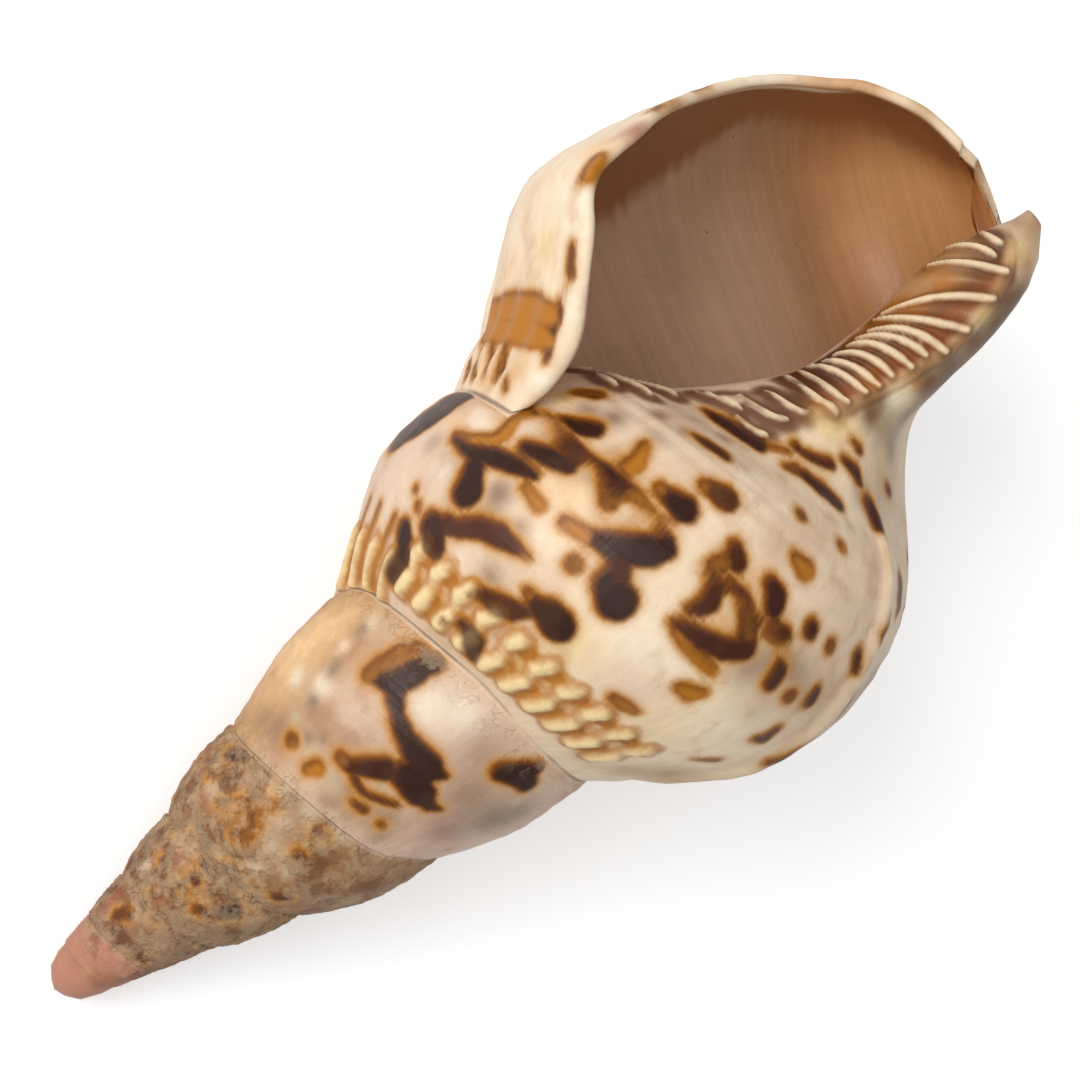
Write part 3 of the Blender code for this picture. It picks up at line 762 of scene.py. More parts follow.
def gap_marks():
    """A mark in each gap between two beads or two pleats."""
    marks = []
    for at in np.arange(FIRST_BEAD, LAST_BEAD, BEAD_PITCH) + BEAD_PITCH / 2:
        tone = float(np.interp(at, *zip(*GAP_TONES)))
        if not SPOTTED_BEADS[0] < at < SPOTTED_BEADS[1]:
            marks += [(tone, growth_bar(at, *row)) for row in GAP_ROWS]
    for at in np.arange(FIRST_PLEAT, LAST_PLEAT - PLEAT_PITCH, PLEAT_PITCH) + PLEAT_PITCH / 2:
        marks.append((PLEAT_GAP_TONE, growth_bar(at, *PLEAT_GAP)))
    return marks


def edge_spots():
    """The spots on the lip's edge, each along the edge from one walk to another."""
    return [(tone, [(*on_edge(start), half), (*on_edge(end), half)]) for tone, start, end, half in EDGE_SPOTS]


def stroke_places(stroke, older=0.0, wider=0.0):
    """A stroke's places in space and its half widths. older moves it back along the growth, in mm."""
    centres = []
    widths = []
    for stroke_age, stroke_height, half_width in stroke:
        centre = on_shell(stroke_age, stroke_height)
        reach = max(math.hypot(centre[0], centre[1]), 5.0)
        centres.append(on_shell(stroke_age + older / (2 * math.pi * reach), stroke_height))
        widths.append(half_width + wider)
    return np.array(centres), np.array(widths)


def depth_inside(points, centres, widths):
    """How far inside the stroke each point is, in mm; less than 0 outside it."""
    best = np.full(len(points), -1e3)
    if len(centres) == 1:
        return widths[0] - np.linalg.norm(points - centres[0], axis=1)
    for a, b, width_a, width_b in zip(centres, centres[1:], widths, widths[1:]):
        along = b - a
        share = np.clip((points - a) @ along / (along @ along), 0, 1)
        gap = np.linalg.norm(points - a - share[:, None] * along, axis=1)
        best = np.maximum(best, width_a + share * (width_b - width_a) - gap)
    return best


FAR = 6.0
BLEND = 0.6


def near_stroke(stroke, centres):
    """The skin's points that a stroke could reach: the same whorl, outside, within a few mm."""
    middle = centres.mean(axis=0)
    span = np.linalg.norm(centres - middle, axis=1).max() + 12
    same_whorl = abs(age - np.mean([place[0] for place in stroke])) < 0.25
    near = np.linalg.norm(places - middle, axis=1) < span
    return np.flatnonzero(same_whorl & near & (kind != HOLLOW))


def depth_in_any(strokes):
    """For every point of the skin, how far inside the nearest of these strokes it is, in mm."""
    best = np.full(len(places), -FAR)
    for stroke in strokes:
        centres, widths = stroke_places(stroke)
        near = near_stroke(stroke, centres)
        best[near] = np.maximum(best[near], depth_inside(places[near], centres, widths))
    return best


def hidden_blotches():
    """Spots for the side it lies on: spiral rows, each spot drawn out along the growth."""
    chance = random.Random(11)
    strokes = []
    for whorl in range(0, 4):
        for row_walk in (1.9, 2.5, 3.1, 3.7, 4.3, 4.9, 5.6, 6.4, 7.2):
            if whorl and row_walk > 4.5:
                continue
            at = whorl + 0.02 + 0.03 * chance.random()
            while at < whorl + 0.5:
                size = GROWTH ** -at
                tone = chance.choice((0.1, 0.6, 0.85, 1.0, 1.0))
                half = (1.4 + 2.4 * chance.random()) * size**0.5
                if chance.random() < 0.72 and not (whorl == 0 and at < 0.06 and row_walk > 5):
                    start = float(outer(at, row_walk)[0])
                    end = float(outer(at - 0.022, row_walk + chance.uniform(-0.12, 0.12))[0])
                    strokes.append((tone, [(at, start, 0.6 * half), (at - 0.022, end, half)]))
                at += 0.034 + 0.038 * chance.random()
    return strokes


spot = np.full(len(places), -FAR)
halo = np.full(len(places), -FAR)
tone = np.zeros(len(places))
pull = np.zeros(len(places))
by_rule = gap_marks() + edge_spots() + hidden_blotches()
all_blotches = BLOTCHES + [(0.6, groove) for groove in LIP_GROOVES] + by_rule
for darkness, stroke in all_blotches:
    centres, widths = stroke_places(stroke)
    near = near_stroke(stroke, centres)
    inside = depth_inside(places[near], centres, widths)
    nearness = np.exp(inside / BLEND)
    tone[near] += darkness * nearness
    pull[near] += nearness
    spot[near] = np.maximum(spot[near], inside)
    centres, widths = stroke_places(stroke, older=0.9, wider=0.75)
    halo[near] = np.maximum(halo[near], depth_inside(places[near], centres, widths))
tone /= np.maximum(pull, 1e-9)
print("marks:", len(BLOTCHES), "spots placed by hand and", len(all_blotches) - len(BLOTCHES), "others")

groove = depth_in_any(LIP_GROOVES)


def bent_stroke(tooth):
    """A tooth's crest as a smooth bend through its places, thin at the mouth's end."""
    share = np.linspace(0, 1, len(tooth))
    power = len(tooth) - 1
    age_bend = np.polyfit(share, [place[0] for place in tooth], power)
    height_bend = np.polyfit(share, [place[1] for place in tooth], power)
    steps = np.linspace(0, 1, 9)
    widths = TOOTH_HALF_WIDTH * np.interp(steps, [0, 0.3, 0.85, 1], [0.3, 0.75, 1.05, 0.6])
    return list(zip(np.polyval(age_bend, steps), np.polyval(height_bend, steps), widths))


crest = depth_in_any(bent_stroke(tooth) for tooth in TEETH)
margin = depth_in_any([MARGIN])
pearl = depth_in_any(bead_bars())
print("teeth:", len(TEETH), "on the pillar, touching", int((crest > 0).sum()), "points")

# %% [markdown]
# ## Relief
#
# A real triton is smooth to a fingertip only between its features: low cords that follow the spiral,
# two rows of square beads under the suture, which run together into pleats by the lip, a rib where
# growth once paused, the white teeth on the pillar, and a chalky, pitted spire. They are raised on the
# mesh itself, because each of them shows on the outline or catches a highlight of its own.

# %%
BEAD_HEIGHT = 1.0
BEAD_TALL = 1.35
PLEAT_DEPTH = 0.7
BEAD_ROW_WALKS = (0.58, 1.22)
CORD_HEIGHT = 0.13
MARGIN_HEIGHT = 0.9
SUTURE_DEPTH = 0.35
LUMP_HEIGHT = 0.4
PIT_HEIGHT = 0.22
SEAM_PIT_HEIGHT = 0.25
SWELL_HEIGHT = 0.12
RIB_TURNED = (0.672, 1.31, 1.97, 2.62)
RIB_HEIGHT = (1.7, 0.7, 0.5, 0.4)


def ripples(value, sharp=1.0):
    """A row of rounded ridges, one each whole number, from 0 to 1."""
    return (0.5 + 0.5 * np.cos(2 * np.pi * value)) ** sharp


def roughness_at(points, size, seed):
    """Smooth random heights between about -1 and 1, in lumps of this many mm."""
    shift = Vector((seed, 2 * seed, -seed))
    return np.array([noise.fractal(Vector(p) / size + shift, 1.0, 2.0, 3) for p in points])


size = GROWTH ** -np.maximum(age, 0)
outside = (kind == SPIRE) | (kind == RIM)
young = 1 - smooth(age, 0.98, 1.25)

cords = CORD_HEIGHT * ripples(1.7 * walk) * smooth(walk, 1.9, 2.3) * (1 - smooth(walk, 4.8, 5.2))
cords += 1.5 * CORD_HEIGHT * ripples(2.6 * walk) * smooth(walk, 4.9, 5.3) * (1 - smooth(walk, 6.6, 7.2))

by_lip = 1 - smooth(grown, 0.05, 0.12)
wander = 0.12 * np.sin(11 * grown) + 0.05 * np.sin(47 * grown + 1)
bead_line = ripples(grown / BEAD_PITCH + wander, 0.8)
upper = np.exp(-((walk - BEAD_ROW_WALKS[0]) / 0.25) ** 2)
lower = np.exp(-((walk - BEAD_ROW_WALKS[1]) / 0.26) ** 2)
pleat = smooth(walk, 0.1, 0.4) * (1 - smooth(walk, 1.1, 1.7))
bead_rows = (1 - by_lip) * np.maximum(upper, lower) + by_lip * pleat
patterned = 1 - smooth(age, 0.50, 0.56) * (1 - smooth(age, 1.0, 1.03))
beads = BEAD_HEIGHT * bead_line * bead_rows * (0.25 + 0.75 * young) * np.sqrt(size) * patterned
beads += BEAD_TALL * smooth(pearl, -1.1, 1.2) - PLEAT_DEPTH * smooth(groove, -0.6, 0.6)

ribs = np.zeros(len(places))
for at, tall in zip(RIB_TURNED, RIB_HEIGHT):
    ahead = np.where(grown < at, 0.014, 0.007)
    ribs += tall * np.exp(-((grown - at) / ahead) ** 2) * smooth(walk, 0.6, 1.5) * (1 - smooth(walk, 7, 8.5))

teeth = TOOTH_HEIGHT * smooth(crest, -1.1, 0.8) + MARGIN_HEIGHT * smooth(margin, -1.0, 1.2)
suture = -SUTURE_DEPTH * np.exp(-(walk / 0.07) ** 2) * (grown > 0.02)

at_tip = 1 - smooth(-places[:, 2], 19, 31)
chalky = smooth(age, 1.5, 3.2) * (1 - 0.9 * at_tip) * (kind == SPIRE)
lumps = roughness_at(places, 7.0, 3.0)
pits = roughness_at(places, 1.9, 8.0)
by_suture = np.exp(-(walk / 0.45) ** 2) + np.exp(-((walk - COVERED) / 0.5) ** 2)
near_seam = by_suture * smooth(age, 1.0, 1.7) * (1 - at_tip) * outside
weathered = chalky * (LUMP_HEIGHT * lumps + PIT_HEIGHT * pits) + SEAM_PIT_HEIGHT * near_seam * pits
swell = SWELL_HEIGHT * lumps * young * outside

relief = outside * (cords + beads + ribs + suture) + weathered + swell
relief = np.where(kind == HOLLOW, 0.0, relief + teeth)
relief[kind == RIM] *= 0.5
print("relief:", round(float(relief.min()), 2), "to", round(float(relief.max()), 2), "mm")

# %% [markdown]
# ## Ground colours
#
# Under the spots the shell isn't one colour. The last whorl is cream and white with a lilac tinge, the
# shoulder of the whorl before is stained orange, the older spire has lost its glaze and gone tan, mauve
# and grey, and the worn tip is salmon. The lining is mauve-brown with a dark band behind the lip.
# Each patch below is a soft wash over a base colour that changes with age; the darker washes along the lower
# sides of the whorls are partly painted shade.

# %%
PAINT = {
    "white": (252, 237, 212),
    "cream": (246, 221, 188),
    "yellow cream": (242, 212, 152),
    "orange cream": (244, 200, 146),
    "lilac": (226, 194, 170),
    "peach": (216, 166, 114),
    "gold": (182, 112, 28),
    "tan": (192, 146, 98),
    "ochre": (160, 116, 76),
    "clay": (150, 102, 74),
    "beige": (172, 138, 102),
    "mauve": (130, 94, 74),
    "lining": (216, 184, 154),
    "lining tan": (170, 110, 58),
    "taupe": (150, 118, 92),
    "grey": (124, 108, 88),
    "olive": (112, 84, 44),
    "salmon": (194, 134, 108),
    "pink": (182, 112, 94),
    "brown": (112, 70, 42),
    "red brown": (88, 46, 26),
    "rust": (152, 88, 46),
    "chalk": (206, 190, 158),
}

# (colour, age, height mm, radius mm, strength)
WASHES = [
    # the last whorl; its wide browns, tans, taupes, beiges and the grey at ages 0.52 to 0.65 are partly its
    # own colour and partly painted shade along its lower side
    ("brown", 0.525, 150, 5, 0.6), ("brown", 0.525, 162, 6, 0.6), ("tan", 0.545, 172, 7, 0.6),
    ("tan", 0.54, 186, 7, 0.5), ("brown", 0.52, 196, 7, 0.6), ("tan", 0.57, 148, 6, 0.6),
    ("mauve", 0.868, 152, 4.5, 0.6), ("mauve", 0.845, 148, 3.5, 0.6), ("mauve", 0.90, 152, 3, 0.5),
    ("mauve", 0.835, 169, 4, 0.7), ("mauve", 0.86, 174, 3, 0.5), ("taupe", 0.80, 174, 4, 0.6),
    ("gold", 0.785, 178.5, 3, 0.6), ("gold", 0.76, 179, 2.5, 0.5), ("taupe", 0.75, 168, 6, 0.5),
    ("gold", 0.76, 174, 2.5, 0.5), ("mauve", 0.775, 140, 6, 0.6), ("mauve", 0.79, 145, 4, 0.5),
    ("mauve", 0.87, 131, 5, 0.6), ("taupe", 0.86, 187, 3, 0.5), ("taupe", 0.80, 189, 3, 0.5),
    ("taupe", 0.78, 201, 2.5, 0.6), ("taupe", 0.81, 199, 2, 0.4),
    ("white", 0.885, 162, 5, 0.9), ("peach", 0.877, 166, 2.5, 0.7), ("orange cream", 0.90, 158, 3, 0.7),
    ("mauve", 0.826, 156.5, 3.8, 0.85), ("mauve", 0.82, 151, 3, 0.8), ("mauve", 0.80, 156, 2.5, 0.5),
    ("yellow cream", 0.868, 179.5, 4, 0.9), ("gold", 0.868, 179.5, 2.2, 0.6), ("gold", 0.803, 180, 3, 0.6),
    ("mauve", 0.845, 181, 3, 0.7), ("mauve", 0.83, 184.5, 3, 0.8), ("mauve", 0.82, 192.7, 2.4, 0.75),
    ("mauve", 0.796, 194.8, 2, 0.7), ("mauve", 0.778, 196.5, 2, 0.6), ("mauve", 0.76, 198.5, 2, 0.6),
    ("mauve", 0.745, 200, 2, 0.5), ("white", 0.85, 193, 3, 0.5), ("white", 0.80, 199, 3, 0.6),
    ("orange cream", 0.812, 163, 3, 0.6), ("orange cream", 0.795, 168, 4, 0.7),
    ("peach", 0.805, 168, 2.5, 0.4),
    ("orange cream", 0.78, 162, 3, 0.4), ("gold", 0.775, 170, 2.5, 0.45),
    ("gold", 0.70, 184, 5, 0.45), ("orange cream", 0.687, 188, 4, 0.7), ("peach", 0.683, 177, 3, 0.8),
    ("taupe", 0.65, 176, 5.5, 0.75), ("taupe", 0.64, 181, 5.5, 0.75), ("taupe", 0.62, 184, 5, 0.6),
    ("taupe", 0.60, 182, 5, 0.5), ("beige", 0.62, 172, 5, 0.5), ("beige", 0.58, 186, 6, 0.4),
    ("yellow cream", 0.66, 165, 6, 0.4), ("white", 0.675, 164, 4, 0.7), ("white", 0.73, 196, 8, 0.5),
    ("white", 0.70, 160, 8, 0.5), ("white", 0.62, 165, 8, 0.5), ("lilac", 0.68, 154, 7, 0.6),
    ("lilac", 0.68, 198, 12, 0.4), ("lilac", 0.60, 200, 14, 0.4), ("yellow cream", 0.64, 152, 6, 0.5),
    ("tan", 0.65, 209.5, 2, 0.5), ("tan", 0.625, 212, 2, 0.5), ("tan", 0.60, 214, 2, 0.4),
    ("tan", 0.62, 201.5, 2, 0.3), ("tan", 0.71, 206, 2.4, 0.4), ("tan", 0.69, 195.5, 2.4, 0.3),
    ("grey", 0.595, 219.5, 4, 0.7), ("beige", 0.545, 226, 8, 0.6), ("tan", 0.53, 160, 7, 0.6),
    ("beige", 0.56, 150, 7, 0.6), ("yellow cream", 0.72, 150, 6, 0.6), ("gold", 0.72, 147, 2, 0.4),
    ("white", 0.85, 150, 3, 0.6), ("white", 0.872, 150, 3.5, 0.6), ("lilac", 0.88, 146, 3, 0.5),
    ("orange cream", 0.94, 126, 5, 0.6), ("peach", 0.91, 130, 4, 0.4), ("tan", 0.62, 138, 4, 0.7),
    ("tan", 0.58, 142, 5, 0.7), ("beige", 0.65, 140, 3, 0.3), ("yellow cream", 0.73, 139, 6, 0.8),
    ("yellow cream", 0.815, 131, 5, 0.7), ("gold", 0.69, 141, 3, 0.4), ("gold", 0.735, 139, 2.5, 0.4),
    # the lip's outer face
    ("white", -0.1, 206, 9, 0.9), ("white", -0.125, 192, 5, 0.8), ("yellow cream", -0.09, 195, 5, 0.7),
    ("orange cream", -0.08, 216, 5, 0.8), ("mauve", -0.08, 225, 2.5, 0.5),
    ("orange cream", -0.05, 187, 4, 0.7), ("peach", -0.11, 175.5, 3, 0.8),
    ("orange cream", -0.07, 170, 5, 0.8), ("white", -0.132, 177.5, 2.6, 0.9),
    ("salmon", -0.05, 171, 3, 0.4),
    # the whorl before
    ("peach", 1.935, 105, 5, 0.7), ("peach", 1.90, 86, 5, 0.7), ("grey", 1.735, 94, 1.6, 0.8),
    ("chalk", 1.76, 92, 2, 0.9), ("chalk", 1.80, 92, 1.8, 0.8), ("chalk", 1.845, 93, 1.8, 0.7),
    ("chalk", 1.70, 95.5, 1.4, 0.8), ("chalk", 1.72, 98.8, 1.3, 0.8), ("brown", 1.74, 88, 2, 0.5),
    ("grey", 1.68, 96, 2, 0.6), ("taupe", 1.66, 92, 3, 0.6), ("gold", 1.83, 87, 3, 0.3),
    ("orange cream", 1.92, 103, 9, 1.0), ("orange cream", 1.94, 95, 9, 1.0),
    ("orange cream", 1.90, 112, 7, 0.8),
    ("peach", 1.93, 90, 6, 0.7), ("white", 1.885, 98, 2.5, 0.7), ("white", 1.845, 102, 3, 0.8),
    ("cream", 1.865, 110.5, 2, 0.8), ("cream", 1.86, 118, 2.5, 0.7), ("grey", 1.862, 115.5, 2, 0.7),
    ("grey", 1.85, 106, 2.2, 0.7), ("grey", 1.84, 98.5, 2, 0.7), ("grey", 1.815, 93, 2, 0.6),
    ("olive", 1.80, 95.5, 1.6, 0.5), ("mauve", 1.89, 86, 4, 0.5), ("mauve", 1.85, 88, 4, 0.5),
    ("lilac", 1.80, 105, 6, 0.8), ("white", 1.75, 118, 5, 0.8), ("white", 1.72, 123, 5, 0.8),
    # the greys at ages 1.58 and 1.60 are painted shade along this whorl's lower side
    ("taupe", 1.68, 122, 6, 0.45), ("taupe", 1.65, 113, 6, 0.6), ("grey", 1.60, 113, 6, 0.7),
    ("grey", 1.58, 118, 5, 0.6), ("chalk", 1.60, 120, 2, 0.7), ("chalk", 1.59, 126, 2, 0.6),
    ("mauve", 1.62, 104, 5, 0.6), ("beige", 1.72, 91, 6, 0.7), ("chalk", 1.715, 98.8, 1.6, 0.8),
    ("beige", 1.68, 95, 5, 0.6),
    ("taupe", 1.66, 112, 12, 0.35), ("taupe", 1.76, 100, 8, 0.25),
    # the spire
    ("olive", 2.78, 69, 4, 0.6), ("beige", 2.82, 75.5, 2.8, 0.8), ("cream", 2.75, 77.3, 3, 0.6),
    ("cream", 2.735, 72.5, 2.6, 0.5), ("peach", 2.84, 68.3, 2, 0.7), ("brown", 2.90, 72, 3, 0.5),
    ("brown", 2.68, 78, 3.5, 0.4), ("brown", 2.86, 60, 3, 0.5), ("chalk", 2.74, 83, 2.4, 0.8),
    ("chalk", 2.78, 81.5, 1.8, 0.8), ("chalk", 2.69, 86, 2.2, 0.7), ("rust", 3.78, 50, 4, 0.5),
    ("brown", 3.70, 45, 4, 0.5), ("olive", 3.67, 57, 3, 0.5), ("brown", 3.74, 57.5, 2, 0.5),
    ("rust", 2.93, 70, 5, 0.6), ("rust", 2.87, 66, 4, 0.5), ("pink", 2.83, 75.5, 2.2, 0.35),
    ("cream", 2.86, 68.5, 2.2, 0.5), ("rust", 2.80, 70, 5, 0.5), ("beige", 2.73, 77, 3, 0.6),
    ("cream", 2.72, 66.5, 2.4, 0.6), ("cream", 2.69, 72, 2.4, 0.5), ("orange cream", 2.80, 79, 3, 0.5),
    ("grey", 2.76, 63, 2.6, 0.5), ("grey", 2.66, 62, 2.6, 0.4), ("taupe", 2.62, 70, 5, 0.5),
    ("taupe", 2.58, 76, 5, 0.5), ("salmon", 3.83, 53.5, 2.4, 0.7), ("pink", 3.85, 51, 1.8, 0.6),
    ("gold", 3.80, 46.5, 1.6, 0.6), ("gold", 3.79, 44.5, 1.6, 0.6), ("gold", 3.81, 42.5, 1.6, 0.6),
    ("cream", 3.87, 46, 1.6, 0.5), ("lilac", 3.87, 44, 1.6, 0.5), ("rust", 3.90, 50, 3, 0.6),
    ("taupe", 3.65, 48, 4, 0.5), ("grey", 3.60, 52, 4, 0.4), ("chalk", 3.62, 57.5, 1.5, 0.6),
    ("chalk", 3.72, 60, 1.5, 0.4), ("pink", 4.86, 33.5, 2.2, 0.7), ("rust", 4.90, 36, 3, 0.6),
    ("taupe", 4.83, 29, 3, 0.7), ("beige", 4.70, 35, 4, 0.6), ("beige", 4.66, 33, 3, 0.6),
    # the brown at age 4.60 is painted shade by this whorl's lower edge
    ("brown", 4.60, 36, 3, 0.5), ("salmon", 5.85, 20.5, 3, 0.9), ("salmon", 5.7, 14, 6, 0.8),
    ("salmon", 5.95, 16, 5, 0.9), ("pink", 5.80, 19.5, 1.5, 0.7), ("pink", 5.88, 20, 1.2, 0.5),
    ("yellow cream", 5.72, 20.5, 1.8, 0.6),
]

# Patches on the lip's edge: (colour, walk along the edge, radius mm, strength)
EDGE_WASHES = [
    ("gold", 3, 3, 0.8), ("salmon", 4, 4, 0.9), ("gold", 5, 4, 0.8), ("white", 5.5, 3, 0.9),
    ("white", 6.5, 7, 0.9), ("peach", 8, 7, 0.7), ("peach", 9, 6, 0.8), ("tan", 10, 4, 0.8),
]

# The pillar's own colours, beside and between the teeth
PILLAR_WASHES = [
    ("gold", 0.91, 262, 8, 0.8), ("gold", 0.90, 252, 7, 0.8), ("tan", 0.88, 258, 4, 0.8),
    ("gold", 0.88, 242, 5, 0.6), ("tan", 0.95, 270, 8, 0.7), ("tan", 0.87, 268, 4, 0.5),
    ("gold", 0.83, 254, 3, 0.7), ("gold", 0.83, 262, 3, 0.6), ("gold", 0.72, 236, 3, 0.6),
    ("yellow cream", 0.72, 281, 3.4, 0.9), ("yellow cream", 0.646, 265.3, 3.4, 0.9),
    ("cream", 0.66, 262, 2, 0.7), ("tan", 0.67, 281, 3, 0.6), ("brown", 0.64, 272, 4, 0.8),
    ("brown", 0.60, 275, 5, 0.7), ("brown", 0.615, 260.5, 4, 0.8), ("beige", 0.63, 252.5, 3, 0.7),
    ("grey", 0.595, 253.5, 4, 0.7), ("olive", 0.61, 247, 3.5, 0.9), ("brown", 0.56, 247, 5, 0.7),
    ("gold", 0.632, 244.5, 2, 0.8), ("yellow cream", 0.645, 240.5, 2.6, 0.9),
    ("white", 0.615, 238.5, 3.4, 0.9),
    ("chalk", 0.585, 235.5, 4, 0.8), ("beige", 0.575, 232.5, 4, 0.6), ("olive", 0.65, 232, 4, 0.9),
    ("brown", 0.655, 235, 2.4, 0.6), ("yellow cream", 0.535, 230, 3.4, 0.8), ("brown", 0.52, 240, 4, 0.6),
    ("brown", 0.53, 262, 7, 0.9), ("brown", 0.52, 252, 6, 0.9), ("brown", 0.54, 272, 6, 0.8),
    ("olive", 0.60, 267, 4, 0.8), ("olive", 0.66, 247, 2, 0.5), ("brown", 0.515, 233, 5, 0.6),
    ("yellow cream", 0.70, 222, 4, 0.9), ("gold", 0.735, 224, 3, 0.6), ("yellow cream", 0.66, 226, 3, 0.7),
    ("tan", 0.75, 287, 5, 0.6), ("beige", 0.85, 286, 5, 0.5),
]


def linear(colour):
    """A colour as written in a paint list, as the light it gives back."""
    part = np.asarray(colour, float) / 255
    return np.where(part <= 0.04045, part / 12.92, ((part + 0.055) / 1.055) ** 2.4)


def wash(ground, washes, chosen):
    """Soft patches laid one over another on the chosen points."""
    for colour, wash_age, wash_height, reach, strength in washes:
        centre = on_shell(wash_age, wash_height)
        near = chosen & (abs(age - wash_age) < 0.3)
        gap = np.linalg.norm(places[near] - centre, axis=1) / reach
        share = (strength * np.exp(-gap**2))[:, None]
        ground[near] = (1 - share) * ground[near] + share * linear(PAINT[colour])
    return ground


def along_age(stops):
    """A base colour for every point from (age, colour) stops."""
    ages = [stop for stop, colour in stops]
    colours = np.array([linear(PAINT[colour]) for stop, colour in stops])
    return np.stack([np.interp(age, ages, colours[:, channel]) for channel in range(3)], -1)


ground = along_age([(-0.1, "cream"), (0.7, "cream"), (1.0, "lilac"), (1.7, "lilac"), (1.9, "tan"),
                    (2.3, "ochre"), (3.2, "ochre"), (3.7, "ochre"), (4.6, "clay"), (5.2, "clay"),
                    (5.6, "salmon")])
on_outside = kind != HOLLOW
edge_washes = [(colour, *on_edge(at), reach, strength) for colour, at, reach, strength in EDGE_WASHES]
ground = wash(ground, WASHES + edge_washes, on_outside)
tip_share = 0.85 * (1 - smooth(-places[:, 2], 17, 33))[:, None]
ground = (1 - tip_share) * ground + tip_share * linear(PAINT["salmon"])

# The pillar is dark between its teeth and golden at their outer ends
by_teeth = (smooth(crest, -4.5, -2.0) * on_outside)[:, None]
deep = smooth(age, 0.72, 0.80)[:, None]
between = (1 - deep) * linear(PAINT["rust"]) + deep * linear(PAINT["red brown"])
by_dome = (1 - smooth(-places[:, 2], 212, 226))[:, None]
between = (1 - by_dome) * between + by_dome * linear(PAINT["mauve"])
ground = (1 - by_teeth) * ground + by_teeth * between
on_margin = (smooth(margin, -0.8, 0.8) * on_outside)[:, None]
ground = (1 - on_margin) * ground + on_margin * linear(PAINT["tan"])
ground = wash(ground, PILLAR_WASHES, on_outside & (walk > 7))

# The lining, by how far it is from the lip and where along the lip. Its dark band is a hem along the
# lip that reaches deep into the hollow at the shoulder.
HEM_WIDTH = 18
SHOULDER_REACH = 55
inside = kind == HOLLOW
depth = grown * 2 * np.pi * radius
towards_canal = smooth(walk, 4.5, 9.0)[:, None]
lining = (1 - towards_canal) * linear(PAINT["lining"]) + towards_canal * linear(PAINT["lining tan"])
pale = (smooth(age, 0.12, 0.3) * (1 - smooth(age, 0.32, 0.5)) * (1 - smooth(walk, 6, 9)))[:, None]
lining = (1 - 0.25 * pale) * lining + 0.25 * pale * linear(PAINT["salmon"])
peach = (np.exp(-((walk - 9.5) / 1.5) ** 2) * np.exp(-((age - 0.12) / 0.1) ** 2))[:, None]
lining = (1 - 0.5 * peach) * lining + 0.5 * peach * linear(PAINT["peach"])
ground[inside] = lining[inside]
at_shoulder = smooth(walk, 3, 4) * (1 - smooth(walk, 4, 7))
band_width = HEM_WIDTH * smooth(walk, 3, 4) * (1 - smooth(walk, 10, 12)) + SHOULDER_REACH * at_shoulder
lip_band = np.where(inside, band_width - depth, -4 * FAR)
print("ground:", len(WASHES) + len(PILLAR_WASHES), "washes over the base colours")

# %% [markdown]
# ## The shell as one piece
#
# The shell is a single piece of lime, so it is one mesh with two finishes: the glaze outside and the
# smooth lining of the hollow. It is turned to lie as the solid part lies, and the relief is pushed out
# along the surface. What the glaze needs to know is stored on the points, in mm.

# %%
def lying_axes():
    """Turns the shell's own axes so that it lies at rest, with its worn tip towards +X."""
    level = math.cos(CANAL_TIP_UP)
    up = Vector((level * math.cos(UP_SIDE), level * math.sin(UP_SIDE), -math.sin(CANAL_TIP_UP)))
    tip = Vector((0, 0, 1))
    forward = (tip - tip.dot(up) * up).normalized()
    return Matrix((forward, up.cross(forward), up))


def store(mesh, name, values, where="POINT"):
    """Stores one vector for each point or corner of the mesh."""
    layer = mesh.attributes.new(name, "FLOAT_VECTOR", where)
    layer.data.foreach_set("vector", np.ascontiguousarray(values, np.float32).ravel())


turn = np.array(lying_axes())
lying = places @ turn.T * MM
low = lying.min(axis=0)
middle = (low + lying.max(axis=0)) / 2
shift = -np.array([middle[0], middle[1], low[2]])

form = bmesh.new()
points = [form.verts.new(at) for at in lying + shift]
for face in skin.faces:
    made = form.faces.new([points[i] for i in face])
    made.smooth = True
    made.material_index = int(sum(kind[i] == HOLLOW for i in face) * 2 > len(face))
bmesh.ops.recalc_face_normals(form, faces=form.faces)
form.normal_update()
for number, point in enumerate(points):
    point.co += point.normal * float(relief[number]) * MM
lowest = min(point.co.z for point in points if point.link_faces)
for point in points:
    point.co.z -= lowest

mesh = bpy.data.meshes.new("triton_shell")
form.to_mesh(mesh)
form.free()
store(mesh, "marks", np.stack([spot, halo, tone], -1))
store(mesh, "form", np.stack([crest, chalky, lip_band], -1))
store(mesh, "ground", ground)
store(mesh, "place", np.stack([depth * inside, near_seam, pearl], -1))

# Corners at a suture belong to two whorls, so growth and walk are stored corner by corner
loop_point = np.zeros(len(mesh.loops), int)
mesh.loops.foreach_get("vertex_index", loop_point)
face_sizes = np.array([len(face.vertices) for face in mesh.polygons])
loop_face = np.repeat(np.arange(len(face_sizes)), face_sizes)
widest = np.zeros(len(face_sizes))
np.maximum.at(widest, loop_face, walk[loop_point])
covered = (walk[loop_point] == 0) & (widest[loop_face] > 2.5) & (kind[loop_point] == SPIRE)
growth = np.where(covered, grown[loop_point] + 1, grown[loop_point])
across = np.where(covered, COVERED, walk[loop_point])
store(mesh, "growth", np.stack([growth, across, np.zeros(len(growth))], -1), "CORNER")

shell = bpy.data.objects.new("triton_shell", mesh)
bpy.context.scene.collection.objects.link(shell)
triangles = int((face_sizes - 2).sum())
print("shell:", triangles, "triangles,", [round(1000 * side, 1) for side in shell.dimensions], "mm")

# %% [markdown]
# ## Wiring
#
# Both finishes are built from the same few moves: read a stored value, add a little wandering, and turn
# it into a soft-edged mask. These helpers keep each of those moves on one line.

